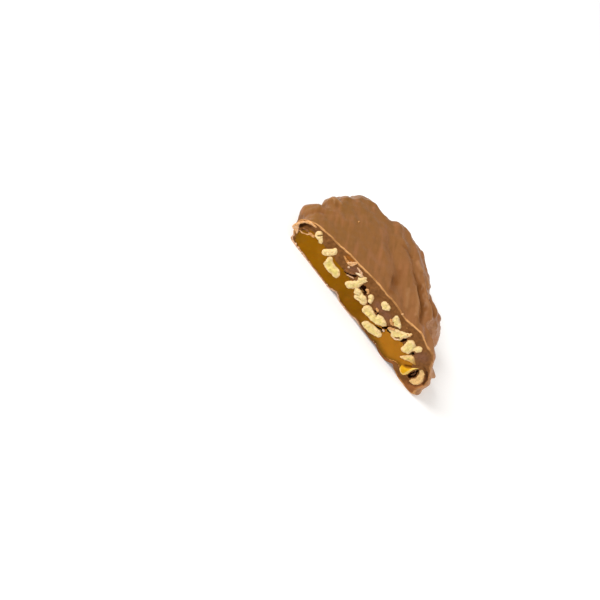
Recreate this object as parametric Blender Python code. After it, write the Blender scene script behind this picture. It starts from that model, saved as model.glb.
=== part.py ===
"""Half of a pecan caramel patty: milk chocolate over a slab of caramel set with pecan pieces.

The half lies on its flat underside with the top up and the cut facing -Y. X runs along the cut.
Lengths are in metres. Plan bearings are in degrees from +X towards +Y, about the patty's middle.
"""

from collections import namedtuple
from math import cos, pi, radians, sin

import bmesh
import bpy
import numpy as np

MM = 0.001

# Whole patty, before it was cut, with its middle measured from the middle of the cut
PLAN_MIDDLE = np.array((-5.0, 1.5)) * MM
PLAN_RADIUS = 37.0 * MM
# Lumps and flats of the rim: bearing, how far it stands out, half width as a bearing
RIM_LUMPS = (
    (1, 6.8 * MM, 6.5),
    (15, -4.4 * MM, 7),
    (33, 2.4 * MM, 6),
    (51, -3.8 * MM, 8),
    (67, -1.4 * MM, 6),
    (85, 2.8 * MM, 9),
    (101, 4.9 * MM, 8),
    (117, 1.6 * MM, 6),
    (127, 8.8 * MM, 9),
    (140, 3.2 * MM, 4.5),
    (149, 3.2 * MM, 6),
    (159, -2.6 * MM, 5),
    (167, 1.8 * MM, 6),
    (180, -3.4 * MM, 6),
)
# Lump and hollow of the side behind the +X end of the cut: bearing, place as a share of the
# height, how far it stands out, half width as a bearing, half height as a share
SIDE_LUMPS = (
    (12, 0.30, 11.5 * MM, 5, 0.20),
    (4, 0.85, -2.6 * MM, 5, 0.35),
)
# Small scallops of the rim, as waves of these counts round the patty
SCALLOP_COUNTS = (13, 19, 23, 31, 38)
SCALLOP_HEIGHT = 0.30 * MM
# Side of the patty from the middle of the underside to the middle of the top,
# as shares of the plan radius and of the height
SIDE_PROFILE = (
    (0.00, 0.00),
    (0.77, 0.00),
    (0.85, 0.00),
    (0.915, 0.035),
    (0.935, 0.17),
    (0.965, 0.36),
    (1.000, 0.56),
    (0.990, 0.75),
    (0.950, 0.90),
    (0.880, 0.975),
    (0.66, 1.00),
    (0.33, 1.00),
    (0.00, 1.00),
)
# How many rings each stretch of that profile is given
SIDE_RINGS = (1, 1, 2, 2, 3, 3, 3, 3, 3, 3, 3, 2)
SIDE_SEGMENTS = 128
# Towards the +X end the side spreads at its foot and leans in at its top
END_FOOT = 0.26
END_LEAN = 0.48
END_MIDDLE = 32
END_WIDTH = 45

# Top of the patty over the middle of the cut, its slope along the cut, and how it falls away
# on either hand, in metres for each metre squared
TOP_HEIGHT = 20.8 * MM
TOP_SLOPE = 0.085
TOP_FALL_X = 2.6
TOP_FALL_Y = 1.6
# Ridges and hollows that run slantwise over the top: place across them, rise, half width
RIPPLE_BEARING = radians(46)
RIPPLES = (
    (3.3 * MM, 0.35 * MM, 2.2 * MM),
    (8.8 * MM, -0.75 * MM, 2.4 * MM),
    (14.6 * MM, 0.85 * MM, 2.3 * MM),
    (18.0 * MM, -0.45 * MM, 1.5 * MM),
    (21.2 * MM, 0.60 * MM, 1.7 * MM),
    (24.8 * MM, -0.50 * MM, 1.4 * MM),
)
RIPPLE_START_X = -16.0 * MM
RIPPLE_FADE = 2.3 * MM

# Caramel slab inside the chocolate
COAT_SIDE = 3.2 * MM
COAT_CUT_END = 9.5 * MM
COAT_CUT_END_WIDTH = 16
COAT_BELOW = 1.0 * MM
CARAMEL_TOP = 11.2 * MM
# Dip and swell of the slab's upper side along the cut, which reach further back than along
CARAMEL_WAVES = (
    (1.5 * MM, -2.0 * MM, 6.0 * MM),
    (18.0 * MM, 1.2 * MM, 5.0 * MM),
)
CARAMEL_WAVE_REACH = 3.0
CARAMEL_PROFILE = (
    (0.00, 0.00),
    (0.84, 0.00),
    (0.90, 0.00),
    (0.96, 0.08),
    (1.00, 0.40),
    (0.97, 0.80),
    (0.90, 0.96),
    (0.78, 1.00),
    (0.40, 1.00),
    (0.00, 1.00),
)
CARAMEL_RINGS = (1, 1, 2, 2, 2, 2, 2, 2, 2)
CARAMEL_SEGMENTS = 64

# Pecan pieces seen in the cut, in millimetres and degrees. x and z place the middle, behind is its
# distance behind the cut, slant turns the length in the cut, and waist, taper and bend are shares
Nut = namedtuple("Nut", "x z behind length thickness slant waist taper bend")
PECANS = (
    Nut(-30.0, 12.1, 0.9, 6.6, 4.2, -41, 0.28, 0.10, 0.00),
    Nut(-23.2, 11.4, 0.7, 7.6, 4.0, 62, 0.28, -0.12, 0.04),
    Nut(-17.8, 7.3, 1.0, 9.0, 5.0, -32, 0.10, 0.00, 0.05),
    Nut(-8.4, 12.5, 0.8, 11.2, 4.5, 71, 0.28, 0.08, -0.03),
    Nut(-3.0, 9.8, 1.0, 6.6, 4.9, -20, 0.08, 0.00, 0.06),
    Nut(0.0, 13.5, 0.5, 4.3, 3.1, -49, 0.10, 0.05, 0.00),
    Nut(5.3, 16.8, 0.6, 4.7, 3.7, -28, 0.00, 0.05, 0.00),
    Nut(6.7, 9.5, 0.9, 12.4, 4.4, 17, 0.16, 0.06, 0.05),
    Nut(9.0, 4.9, 0.8, 10.0, 3.8, 31, 0.04, 0.00, 0.02),
    Nut(11.7, 16.8, 0.7, 5.2, 4.3, -24, 0.05, 0.12, 0.12),
    Nut(16.9, 14.0, 0.7, 9.6, 3.8, 45, 0.10, 0.05, -0.03),
    Nut(23.6, 13.9, 0.9, 9.4, 5.3, 50, 0.30, -0.22, 0.04),
    Nut(27.3, 9.6, 0.8, 6.4, 4.0, 4, 0.00, -0.15, 0.05),
    Nut(34.2, 7.4, 1.1, 8.8, 2.9, 101, 0.05, 0.05, -0.20),
)
NUT_SEGMENTS = 18
NUT_RINGS = 6
NUT_FULLNESS = 2.5
NUT_WAIST_WIDTH = 0.35
# Craggy surface: its depth, how many waves make it and how closely they follow each other
NUT_CRAGS = 0.07
NUT_CRAG_WAVES = 5
NUT_CRAG_PACE = 2.2

# Lip of caramel folded over at the end of the slab
CARAMEL_LIP = Nut(29.6, 5.2, 0.5, 6.0, 2.4, 62, 0.0, 0.0, -0.15)

# Pits that open at the cut, in millimetres and degrees
Pit = namedtuple("Pit", "x z width height slant")
PITS = (
    Pit(-35.4, 9.4, 3.6, 1.9, 50),
    Pit(-4.4, 13.9, 3.0, 1.6, 20),
    Pit(12.4, 8.0, 4.0, 1.2, 28),
    Pit(32.3, 7.4, 1.9, 6.6, 4),
)
PIT_DEPTH = 1.6
PIT_SUBDIVISIONS = 2

# Clearance between pieces that touch
GAP = 0.3 * MM
BLOCK_SIZE = 120 * MM
SHARP_ANGLE = radians(35)
SEED = 11

COLOURS = {
    "chocolate": (0.30, 0.125, 0.046, 1.0),
    "caramel": (0.33, 0.115, 0.004, 1.0),
    "pecan": (0.78, 0.62, 0.32, 1.0),
}
ROUGHNESS = {
    "chocolate": 0.42,
    "caramel": 0.22,
    "pecan": 0.62,
}


def bell(offset, half_width):
    """A smooth bump of height one that fades over half_width."""
    return np.exp(-((offset / half_width) ** 2))


def bearing_offset(bearing, middle):
    """Signed angle in degrees from one bearing to another, from -180 to 180."""
    return (np.degrees(bearing) - middle + 180.0) % 360.0 - 180.0


def rim_radius(bearing):
    """Plan radius of the widest part of the rim."""
    radius = PLAN_RADIUS
    for middle, height, half_width in RIM_LUMPS:
        radius += height * bell(bearing_offset(bearing, middle), half_width)
    return radius


def scallops(bearing, reach, rise):
    """Small lumps of the rim, highest halfway up the side and gone at its foot and its top."""
    start = np.random.default_rng(SEED).uniform(0.0, 2 * pi, len(SCALLOP_COUNTS))
    waves = (np.cos(count * bearing + turn) for count, turn in zip(SCALLOP_COUNTS, start))
    halfway = 4 * rise * (1 - rise)
    return SCALLOP_HEIGHT * sum(waves) * halfway * reach ** 4


def side_lumps(bearing, reach, rise):
    """Lump and hollow of the side that stand at one height only."""
    distance = 0.0
    for middle, place, height, half_width, half_height in SIDE_LUMPS:
        distance += height * bell(bearing_offset(bearing, middle), half_width) * bell(rise - place, half_height)
    return distance * reach ** 4


def end_spread(bearing, reach, rise):
    """How much further out the side stands towards the +X end, as a share of the radius."""
    lean = END_FOOT - END_LEAN * rise
    return lean * bell(bearing_offset(bearing, END_MIDDLE), END_WIDTH) * reach ** 3


def top_height(x, y):
    """Height of the top of the patty over a point of the plan."""
    height = TOP_HEIGHT + TOP_SLOPE * x - TOP_FALL_X * x * x - TOP_FALL_Y * y * y
    across = x * cos(RIPPLE_BEARING) + y * sin(RIPPLE_BEARING)
    shown = 1.0 / (1.0 + np.exp((RIPPLE_START_X - x) / RIPPLE_FADE))
    for place, rise, half_width in RIPPLES:
        height += rise * shown * bell(across - place, half_width)
    return height


def caramel_radius(bearing):
    """Plan radius of the caramel slab, which stops short at the +X end of the cut."""
    short = (COAT_CUT_END - COAT_SIDE) * bell(bearing_offset(bearing, 0), COAT_CUT_END_WIDTH)
    return rim_radius(bearing) - COAT_SIDE - short


def caramel_top(x, y):
    """Height of the caramel's upper side."""
    height = CARAMEL_TOP
    for place, rise, half_width in CARAMEL_WAVES:
        height += rise * bell(x - place, half_width) * bell(y, CARAMEL_WAVE_REACH * half_width)
    return height


def spline(points, place):
    """Catmull-Rom curve through the points, read at a place counted in points."""
    points = np.array(points)
    last = len(points) - 1
    start = min(int(place), last - 1)
    t = place - start
    a, b, c, d = (points[max(0, min(last, start + k))] for k in (-1, 0, 1, 2))
    bend = 2 * a - 5 * b + 4 * c - d
    twist = 3 * (b - c) + d - a
    return 0.5 * (2 * b + (c - a) * t + bend * t * t + twist * t ** 3)


def profile_rings(profile, ring_counts):
    """The profile at each ring, with more rings where it turns."""
    rings = [spline(profile, 0.0)]
    for stretch, count in enumerate(ring_counts):
        rings += [spline(profile, stretch + (k + 1) / count) for k in range(count)]
    return np.maximum(rings, 0.0)


def new_object(name, mesh, collection):
    """Wrap a bmesh in an object of a collection."""
    data = bpy.data.meshes.new(name)
    mesh.to_mesh(data)
    mesh.free()
    piece = bpy.data.objects.new(name, data)
    collection.objects.link(piece)
    return piece


def layer(name, collection, radius, low, high, rings, segments, lumpy=False, grow=0.0):
    """A flat rounded body: a sphere's rings spread over a plan outline and a side profile."""
    mesh = bmesh.new()
    bmesh.ops.create_uvsphere(mesh, u_segments=segments, v_segments=len(rings) - 1, radius=1.0)
    floor = low - grow
    for vertex in mesh.verts:
        direction = vertex.co.normalized()
        ring = round(np.arccos(np.clip(-direction.z, -1, 1)) / pi * (len(rings) - 1))
        reach, rise = rings[ring]
        bearing = np.arctan2(direction.y, direction.x)
        distance = reach * (radius(bearing) + grow)
        if lumpy:
            distance += end_spread(bearing, reach, rise) * radius(bearing)
            distance += scallops(bearing, reach, rise)
            distance += side_lumps(bearing, reach, rise)
        x = PLAN_MIDDLE[0] + distance * cos(bearing)
        y = PLAN_MIDDLE[1] + distance * sin(bearing)
        vertex.co = (x, y, floor + rise * (high(x, y) + grow - floor))
    return new_object(name, mesh, collection)


def turned(along, across, slant):
    """A pair of lengths in the plane of the cut, turned by the slant."""
    turn = radians(slant)
    return along * cos(turn) - across * sin(turn), along * sin(turn) + across * cos(turn)


def nut(name, collection, shape, grow=0.0, seed=0):
    """A lobed piece: a sphere made fuller, stretched, drawn in at the waist, bent and craggy."""
    random = np.random.default_rng(SEED + seed)
    waves = random.normal(0.0, NUT_CRAG_PACE, (NUT_CRAG_WAVES, 3))
    phases = random.uniform(0.0, 2 * pi, NUT_CRAG_WAVES)
    extra = grow / MM
    mesh = bmesh.new()
    bmesh.ops.create_uvsphere(mesh, u_segments=NUT_SEGMENTS, v_segments=NUT_RINGS, radius=1.0)
    for vertex in mesh.verts:
        round_point = np.array((vertex.co.x, vertex.co.z, -vertex.co.y))
        fuller = (np.abs(round_point) ** NUT_FULLNESS).sum() ** (-1 / NUT_FULLNESS)
        crag = 1.0 + NUT_CRAGS * float(np.sin(waves @ round_point + phases).mean())
        a, b, c = round_point * fuller * crag
        waist = 1.0 - shape.waist * bell(a, NUT_WAIST_WIDTH)
        girth = shape.thickness / 2 * waist * (1.0 + shape.taper * a) + extra
        along = (shape.length / 2 + extra) * a
        across = girth * c + shape.bend * shape.length * (0.5 - a * a)
        x, z = turned(along, across, shape.slant)
        vertex.co = ((shape.x + x) * MM, (shape.behind + girth * b) * MM, (shape.z + z) * MM)
    return new_object(name, mesh, collection)


def pit(name, collection, shape):
    """A small hollow that opens at the cut."""
    mesh = bmesh.new()
    bmesh.ops.create_icosphere(mesh, subdivisions=PIT_SUBDIVISIONS, radius=1.0)
    for vertex in mesh.verts:
        a, b, c = vertex.co
        x, z = turned(a * shape.width / 2, c * shape.height / 2, shape.slant)
        vertex.co = ((shape.x + x) * MM, b * PIT_DEPTH * MM, (shape.z + z) * MM)
    return new_object(name, mesh, collection)


def keeping_block(name, collection):
    """A block over everything behind the cut, used to halve the whole forms."""
    mesh = bmesh.new()
    bmesh.ops.create_cube(mesh, size=BLOCK_SIZE)
    bmesh.ops.translate(mesh, verts=mesh.verts, vec=(0, BLOCK_SIZE / 2, BLOCK_SIZE / 4))
    return new_object(name, mesh, collection)


def boolean(piece, operation, cutters, solver="EXACT"):
    """Apply a Boolean with each cutter in turn."""
    for cutter in cutters:
        modifier = piece.modifiers.new(operation.lower(), "BOOLEAN")
        modifier.operation = operation
        modifier.solver = solver
        modifier.object = cutter
    bpy.context.view_layer.update()
    shaped = piece.evaluated_get(bpy.context.evaluated_depsgraph_get())
    old = piece.data
    piece.data = bpy.data.meshes.new_from_object(shaped)
    piece.modifiers.clear()
    bpy.data.meshes.remove(old)
    piece.data.name = piece.name


def connected_bodies(mesh):
    """The mesh's vertices, as one list for each separate body."""
    unseen = set(mesh.verts)
    bodies = []
    while unseen:
        stack = [unseen.pop()]
        body = list(stack)
        while stack:
            here = stack.pop()
            for edge in here.link_edges:
                other = edge.other_vert(here)
                if other in unseen:
                    unseen.remove(other)
                    stack.append(other)
                    body.append(other)
        bodies.append(body)
    return bodies


def keep_largest(piece):
    """Drop any loose scrap that a cut has left."""
    mesh = bmesh.new()
    mesh.from_mesh(piece.data)
    for scrap in sorted(connected_bodies(mesh), key=len)[:-1]:
        bmesh.ops.delete(mesh, geom=scrap, context="VERTS")
    mesh.to_mesh(piece.data)
    mesh.free()


def finish(piece, kind):
    """Give a piece its material and smooth its round surfaces."""
    material = bpy.data.materials.new(piece.name)
    material.use_nodes = True
    shader = material.node_tree.nodes["Principled BSDF"]
    shader.inputs["Base Color"].default_value = COLOURS[kind]
    shader.inputs["Roughness"].default_value = ROUGHNESS[kind]
    shader.inputs["Metallic"].default_value = 0.0
    piece.data.materials.clear()
    piece.data.materials.append(material)
    piece.data.shade_smooth()
    piece.data.set_sharp_from_angle(angle=SHARP_ANGLE)


def centre_on_origin(pieces):
    """Move every mesh so that the whole stands on z = 0 over the origin."""
    corners = [np.array([v.co for v in piece.data.vertices]) for piece in pieces]
    low = np.min([c.min(axis=0) for c in corners], axis=0)
    high = np.max([c.max(axis=0) for c in corners], axis=0)
    shift = (-(low[0] + high[0]) / 2, -(low[1] + high[1]) / 2, -low[2])
    for piece in pieces:
        for vertex in piece.data.vertices:
            vertex.co = [vertex.co[k] + shift[k] for k in range(3)]


def main():
    for old in list(bpy.data.objects):
        bpy.data.objects.remove(old)
    food = bpy.data.collections.new("pecan_caramel_patty_half")
    cutters = bpy.data.collections.new("cutters")
    for collection in (food, cutters):
        bpy.context.scene.collection.children.link(collection)

    side = profile_rings(SIDE_PROFILE, SIDE_RINGS)
    slab = profile_rings(CARAMEL_PROFILE, CARAMEL_RINGS)
    slab_form = (caramel_radius, COAT_BELOW, caramel_top, slab, CARAMEL_SEGMENTS)
    block = keeping_block("block", cutters)

    chocolate = layer("chocolate", food, rim_radius, 0.0, top_height, side, SIDE_SEGMENTS, lumpy=True)
    caramel = layer("caramel", food, *slab_form)
    lip = nut("lip", cutters, CARAMEL_LIP)
    room = layer("caramel_room", cutters, *slab_form, grow=GAP)
    lip_room = nut("lip_room", cutters, CARAMEL_LIP, grow=GAP)

    pecans = []
    pockets = []
    for number, shape in enumerate(PECANS, start=1):
        pecans.append(nut(f"pecan_{number:02d}", food, shape, seed=number))
        pockets.append(nut(f"pocket_{number:02d}", cutters, shape, grow=GAP, seed=number))
    pits = [pit(f"pit_{number}", cutters, shape) for number, shape in enumerate(PITS, start=1)]

    boolean(chocolate, "INTERSECT", [block], "MANIFOLD")
    boolean(chocolate, "DIFFERENCE", [room, lip_room] + pockets + pits, "MANIFOLD")
    boolean(caramel, "INTERSECT", [block], "MANIFOLD")
    boolean(caramel, "UNION", [lip], "MANIFOLD")
    boolean(caramel, "DIFFERENCE", pockets + pits, "MANIFOLD")
    for pecan in pecans:
        boolean(pecan, "INTERSECT", [block])

    for piece in [chocolate, caramel] + pecans:
        keep_largest(piece)
        finish(piece, piece.name.split("_")[0])
    centre_on_origin([chocolate, caramel] + pecans)
    for cutter in list(cutters.objects):
        bpy.data.objects.remove(cutter)


main()
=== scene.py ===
"""Looks of the cut half of a pecan caramel patty.

Pieces are made in millimetres where the half was constructed: X runs along the cut from its middle,
the cut is the plane y = 0 with the half behind it at +Y, and it lies on z = 0. Places in the cut are
pairs x, z. put_in_place() then moves a piece into the frame.
"""

from math import cos, pi, radians, sin

import bmesh
import bpy
import numpy as np
from mathutils import Matrix, Vector


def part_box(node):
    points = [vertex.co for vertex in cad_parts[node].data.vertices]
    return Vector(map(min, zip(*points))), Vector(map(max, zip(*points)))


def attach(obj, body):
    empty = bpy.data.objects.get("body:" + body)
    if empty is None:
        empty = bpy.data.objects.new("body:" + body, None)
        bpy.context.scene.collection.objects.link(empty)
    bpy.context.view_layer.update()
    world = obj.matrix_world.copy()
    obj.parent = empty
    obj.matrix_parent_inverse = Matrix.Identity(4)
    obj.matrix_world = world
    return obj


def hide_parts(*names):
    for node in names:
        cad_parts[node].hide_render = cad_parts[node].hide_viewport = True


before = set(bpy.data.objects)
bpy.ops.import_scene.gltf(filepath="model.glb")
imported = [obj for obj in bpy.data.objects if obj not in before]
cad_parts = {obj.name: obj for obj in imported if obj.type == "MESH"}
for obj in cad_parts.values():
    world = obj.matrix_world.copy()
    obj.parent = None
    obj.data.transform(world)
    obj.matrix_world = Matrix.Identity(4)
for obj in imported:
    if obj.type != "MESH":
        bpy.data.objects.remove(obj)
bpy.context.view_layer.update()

MM = 0.001
# Where the left end of the chocolate lies in the construction
CHOCOLATE_LEFT_END = -42.42

# Plan of the uncut patty, as in the solids, and lumps of its rim: bearing, height and half width,
# with bearings and their widths in degrees
PLAN_MIDDLE = (-5.0, 1.5)
PLAN_RADIUS = 37.0
RIM_LUMPS = (
    (1, 6.8, 6.5), (15, -4.4, 7), (33, 2.4, 6), (51, -3.8, 8), (67, -1.4, 6),
    (85, 2.8, 9), (101, 4.9, 8), (117, 1.6, 6), (127, 8.8, 9), (140, 3.2, 4.5),
    (149, 3.2, 6), (159, -2.6, 5), (167, 1.8, 6), (180, -3.4, 6),
)
# A lump and a hollow of the side: bearing, share of the height, height, half width, half height
SIDE_LUMPS = (
    (12, 0.30, 11.5, 5, 0.20),
    (4, 0.85, -2.6, 5, 0.35),
)
SCALLOP_COUNTS = (13, 19, 23, 31, 38)
SCALLOP_HEIGHT = 0.30
SCALLOP_SEED = 11
# Outline of the side, from the middle of the underside to the middle of the top: shares of the
# radius and of the height
SIDE_PROFILE = (
    (0.00, 0.00), (0.77, 0.00), (0.85, 0.00), (0.915, 0.035), (0.935, 0.17), (0.965, 0.36), (1.000, 0.56),
    (0.990, 0.75), (0.950, 0.90), (0.880, 0.975), (0.66, 1.00), (0.33, 1.00), (0.00, 1.00),
)
# Towards the +X end the foot of the side stands out and its top back, as shares of the radius
END_FOOT = 0.26
END_LEAN = 0.48
END_MIDDLE = 32
END_WIDTH = 45

# Top of the patty, as in the solids, and its slanting ridges: place across them, rise, half width
TOP_HEIGHT = 20.8
TOP_SLOPE = 0.085
TOP_FALL_X = 0.0026
TOP_FALL_Y = 0.0016
RIPPLE_BEARING = radians(46)
RIPPLES = (
    (3.3, 0.35, 2.2), (8.8, -0.75, 2.4), (14.6, 0.85, 2.3),
    (18.0, -0.45, 1.5), (21.2, 0.60, 1.7), (24.8, -0.50, 1.4),
)
RIPPLE_START_X = -16.0
RIPPLE_FADE = 2.3

# Low arches under the edge of the cut: place along it, height, half width
ARCHES = (
    (-9.5, 1.7, 1.9), (3.5, 1.0, 2.8), (9.5, 0.9, 3.2),
    (14.8, 1.1, 2.2), (24.6, 2.2, 1.5), (27.6, 0.8, 1.6),
)
ARCH_REACH = 2.6

# How finely the chocolate is meshed, and where on the profile its side and its top begin
PROFILE_SAMPLES = 4000
SIDE_START_REACH = 0.80
TOP_START_RISE = 0.5
PATTY_SEGMENTS = 640
UNDERSIDE_STEP = 1.0
SIDE_STEP = 0.36
TOP_STEP = 0.50
CUT_CELL = 0.23

# Soft unevenness of the coat: length of its waves, height, seed. It sets in over these shares of
# the height, and that of the side over these shares of the radius
COAT_WAVE_RISE = (0.02, 0.25)
SIDE_WAVE_REACH = (0.80, 0.93)
COAT_WAVES = (
    (9.0, 0.14, 21),
    (3.6, 0.05, 22),
)
SIDE_WAVES = (
    (6.5, 0.20, 23),
    (2.8, 0.05, 24),
)
# Creases in the coat, seen from above, and ridges where the depth is negative: two ends, half
# width, depth
CREASES = (
    (-41.5, 3.0, -37.5, 8.5, 1.4, 0.4),
    (-38.6, 18.4, -34.4, 18.6, 0.6, -0.5),
    (-39.0, 16.4, -34.2, 16.4, 1.0, 0.3),
    (-8.4, 26.8, -2.6, 27.7, 0.8, 0.4),
    (2.1, 3.0, -0.5, 8.7, 2.1, 0.5),
    (-0.5, 8.7, -0.8, 14.5, 1.8, 0.4),
    (0.2, 2.1, -2.6, 10.5, 0.6, -0.25),
    (10.1, 4.9, 5.5, 11.7, 0.8, -0.35),
    (14.8, 4.7, 6.8, 16.7, 0.7, -0.45),
    (18.0, 4.0, 14.1, 12.1, 1.2, 0.6),
    (14.1, 12.1, 9.1, 18.2, 1.5, 0.65),
    (9.1, 18.2, 4.2, 21.3, 1.3, 0.5),
    (20.7, 9.6, 13.1, 16.4, 0.6, -0.4),
    (13.1, 16.4, 9.0, 20.4, 0.6, -0.4),
    (18.8, 14.7, 15.3, 16.9, 1.2, 0.6),
    (0.7, 27.8, 5.4, 25.1, 0.6, -0.5),
    (8.0, 25.4, 11.0, 21.4, 0.6, -0.5),
)

# How far the creases wander: length of the bends, reach, two seeds
CREASE_WANDER = (13.0, 0.45, 25, 26)

# How deep a crease and how high a ridge is where its painted shade, or on a ridge its painted highlight, sets
# in and where it is full
CREASE_SHADE = (0.0, 0.7)
RIDGE_SHADE = (0.05, 0.6)

# Face of the cut: length of its waves, height, seed, and how far inside the edge they set in
CUT_WAVE_INSET = (0.2, 1.6)
CUT_WAVES = (
    (5.5, 0.10, 31),
    (1.9, 0.05, 32),
    (0.9, 0.02, 33),
)
# Raised bead along the edge of the cut, and the pale line on it, the paler torn edge with a painted highlight
BEAD_HEIGHT = 0.20
BEAD_PLACE = 0.22
BEAD_WIDTH = 0.30
LINE_SOFTNESS = (1.3, 0.7)
RIM_LINE_TOP = 0.50
RIM_LINE_BELOW = 0.42
RIM_LINE_WAVES = (1.9, 0.09, 34)
RIM_LINE_OUTSIDE = 0.25
RIM_LINE_AROUND = (0.5, 0.2)
RIM_LINE_FADE = 0.6
RIM_LINE_FADE_X = (26.0, 31.0)
FOOT_HEIGHT = 3.0
FOOT_LINE_FADE_X = (3.0, 9.0)
FOOT_LINE_TIP_X = (25.0, 29.0)
# The cut is redder at the tip, over a border that slants
TIP_START = (30.6, 34.6)
TIP_SLANT = 0.3

# Caramel, as in the solids but with the thin coat below it that the cut shows
COAT_SIDE = 3.2
COAT_CUT_END = 7.2
COAT_CUT_END_WIDTH = 16
COAT_BELOW = 0.80
CARAMEL_TOP = 11.2
CARAMEL_WAVES = (
    (1.5, -2.0, 6.0),
    (18.0, 1.2, 5.0),
)
CARAMEL_WAVE_REACH = 3.0
# Towards the +X end of the cut its underside rises: from x, to x, height, reach behind the cut
CARAMEL_RISE = (20.5, 26.0, 3.2, 6.0)
CARAMEL_PROFILE = (
    (0.00, 0.00), (0.84, 0.00), (0.90, 0.00), (0.96, 0.08), (1.00, 0.40),
    (0.97, 0.80), (0.90, 0.96), (0.78, 1.00), (0.40, 1.00), (0.00, 1.00),
)
CARAMEL_SEGMENTS = 260
CARAMEL_STEP = 1.0
CARAMEL_CELL = 0.34
CARAMEL_FACE_WAVES = (
    (7.0, 0.08, 41),
    (2.6, 0.025, 42),
)
CARAMEL_OVERLAP = 0.06
# It is darker low in the cut towards the thick end, and at the thin end with painted shade
CARAMEL_BORDER = (3.0, 0.0)
CARAMEL_BORDER_START = (-2.0, 8.0)
CARAMEL_THIN_END = (-31.0, -39.0)

# Outline of each pecan piece in the cut
PECANS = {
    "pecan_01": (
        (-32.2, 11.6), (-32.2, 13.0), (-31.5, 14.1), (-30.2, 14.0), (-29.1, 12.8),
        (-27.9, 12.1), (-27.5, 10.9), (-28.4, 9.9), (-29.8, 10.2), (-31.4, 10.5),
    ),
    "pecan_02": (
        (-25.5, 9.4), (-25.0, 11.1), (-24.2, 12.2), (-23.7, 13.2), (-23.3, 14.5), (-22.5, 15.1),
        (-21.3, 14.2), (-21.1, 12.6), (-21.8, 10.9), (-22.4, 9.2), (-23.6, 8.0), (-24.9, 8.1),
    ),
    "pecan_03": (
        (-22.4, 9.1), (-21.4, 10.6), (-19.6, 9.9), (-17.9, 9.6), (-16.2, 10.0), (-14.9, 9.6),
        (-13.9, 8.0), (-13.8, 6.0), (-15.0, 5.5), (-17.7, 5.0), (-20.4, 4.8), (-21.4, 5.3), (-21.7, 7.2),
    ),
    "pecan_04": (
        (-10.3, 7.7), (-10.8, 9.0), (-10.2, 10.5), (-9.4, 11.8), (-9.0, 13.0), (-9.0, 14.4), (-9.3, 15.2),
        (-8.8, 16.2), (-9.1, 17.3), (-8.2, 17.2), (-7.5, 17.9), (-6.8, 17.2), (-5.9, 17.2), (-6.2, 15.4),
        (-6.2, 13.6), (-6.1, 12.0), (-6.8, 9.9), (-7.5, 8.4), (-8.8, 7.4),
    ),
    "pecan_05": (
        (-6.8, 9.9), (-6.5, 11.5), (-4.9, 11.9), (-3.0, 11.6), (-1.9, 12.0), (-0.2, 11.0),
        (0.5, 9.3), (-0.2, 8.0), (-2.3, 7.6), (-4.0, 7.3), (-5.4, 8.2),
    ),
    "pecan_06": (
        (-1.6, 13.2), (-1.6, 14.5), (-0.7, 15.1), (0.4, 14.4),
        (1.2, 13.0), (1.2, 11.8), (0.1, 11.4), (-1.0, 12.2),
    ),
    "pecan_07": (
        (3.4, 15.8), (3.1, 17.0), (4.2, 18.2), (5.8, 18.5),
        (7.1, 17.9), (7.2, 16.7), (6.0, 14.9), (4.4, 14.9),
    ),
    "pecan_08": (
        (0.9, 6.8), (0.7, 8.3), (1.1, 10.0), (2.4, 10.9), (4.2, 10.6), (5.9, 10.7), (6.5, 11.8), (8.0, 12.7),
        (10.0, 12.2), (11.6, 11.3), (10.9, 9.6), (9.2, 7.8), (6.8, 6.6), (3.8, 6.2), (2.0, 6.0),
    ),
    "pecan_09": (
        (5.1, 2.9), (5.4, 4.5), (6.7, 5.8), (9.4, 6.6), (12.2, 7.1),
        (13.6, 6.2), (13.4, 4.6), (11.2, 2.8), (8.2, 1.8), (6.2, 1.7),
    ),
    "pecan_10": (
        (9.9, 17.8), (10.7, 18.9), (12.9, 18.0), (14.8, 16.8), (15.1, 15.5),
        (13.6, 14.3), (11.6, 13.3), (10.3, 14.4), (10.2, 16.0),
    ),
    "pecan_11": (
        (12.5, 11.4), (13.4, 13.2), (15.3, 14.6), (16.9, 16.4), (18.2, 17.1), (18.9, 18.4), (19.7, 18.2),
        (19.5, 15.6), (18.9, 13.6), (18.9, 12.0), (17.2, 10.1), (15.3, 9.5), (14.5, 10.9), (13.2, 10.6),
    ),
    "pecan_12": (
        (20.4, 15.4), (21.5, 17.0), (23.1, 16.9), (24.0, 16.4), (24.7, 17.9), (26.0, 18.1), (26.7, 16.7),
        (26.1, 15.0), (24.9, 13.9), (25.0, 11.8), (24.2, 10.2), (22.6, 9.7), (21.3, 10.6), (20.8, 12.8),
    ),
    "pecan_13": (
        (23.8, 7.1), (24.3, 9.4), (25.4, 11.5), (26.6, 12.4), (28.2, 11.8),
        (30.0, 10.6), (28.4, 9.4), (26.6, 8.4), (25.2, 7.1),
    ),
    "pecan_14": (
        (32.0, 10.6), (32.7, 12.0), (34.2, 11.5), (36.2, 9.3), (36.9, 6.7), (36.4, 4.3),
        (34.8, 2.8), (33.2, 3.0), (33.3, 4.9), (33.7, 6.8), (33.1, 8.8),
    ),
}
# How far each face stands in front of the cut
PECAN_PROUD = {
    "pecan_04": 0.50,
    "pecan_07": 0.52,
    "pecan_11": 0.42,
    "pecan_13": 0.20,
    "pecan_14": -0.05,
}
PECAN_PROUD_ELSE = 0.46
# How yellow the flesh of each is, from cream at zero
PECAN_YELLOWNESS = {
    "pecan_01": 0.35,
    "pecan_02": 0.10,
    "pecan_03": 1.0,
    "pecan_05": 0.30,
    "pecan_13": 1.2,
    "pecan_14": 0.10,
}
PECAN_YELLOWNESS_ELSE = 0.65
# How peach it is beside that, and where the golden end of one begins and ends
PECAN_PEACH_SHARE = {
    "pecan_01": 0.35,
    "pecan_13": 0.80,
    "pecan_14": 1.0,
}
PECAN_PEACH_EDGE = 0.30
GOLDEN_PECAN = "pecan_13"
GOLDEN_END = (25.5, 30.0)
PECAN_MIDDLE = (0.4, 1.6)
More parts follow.
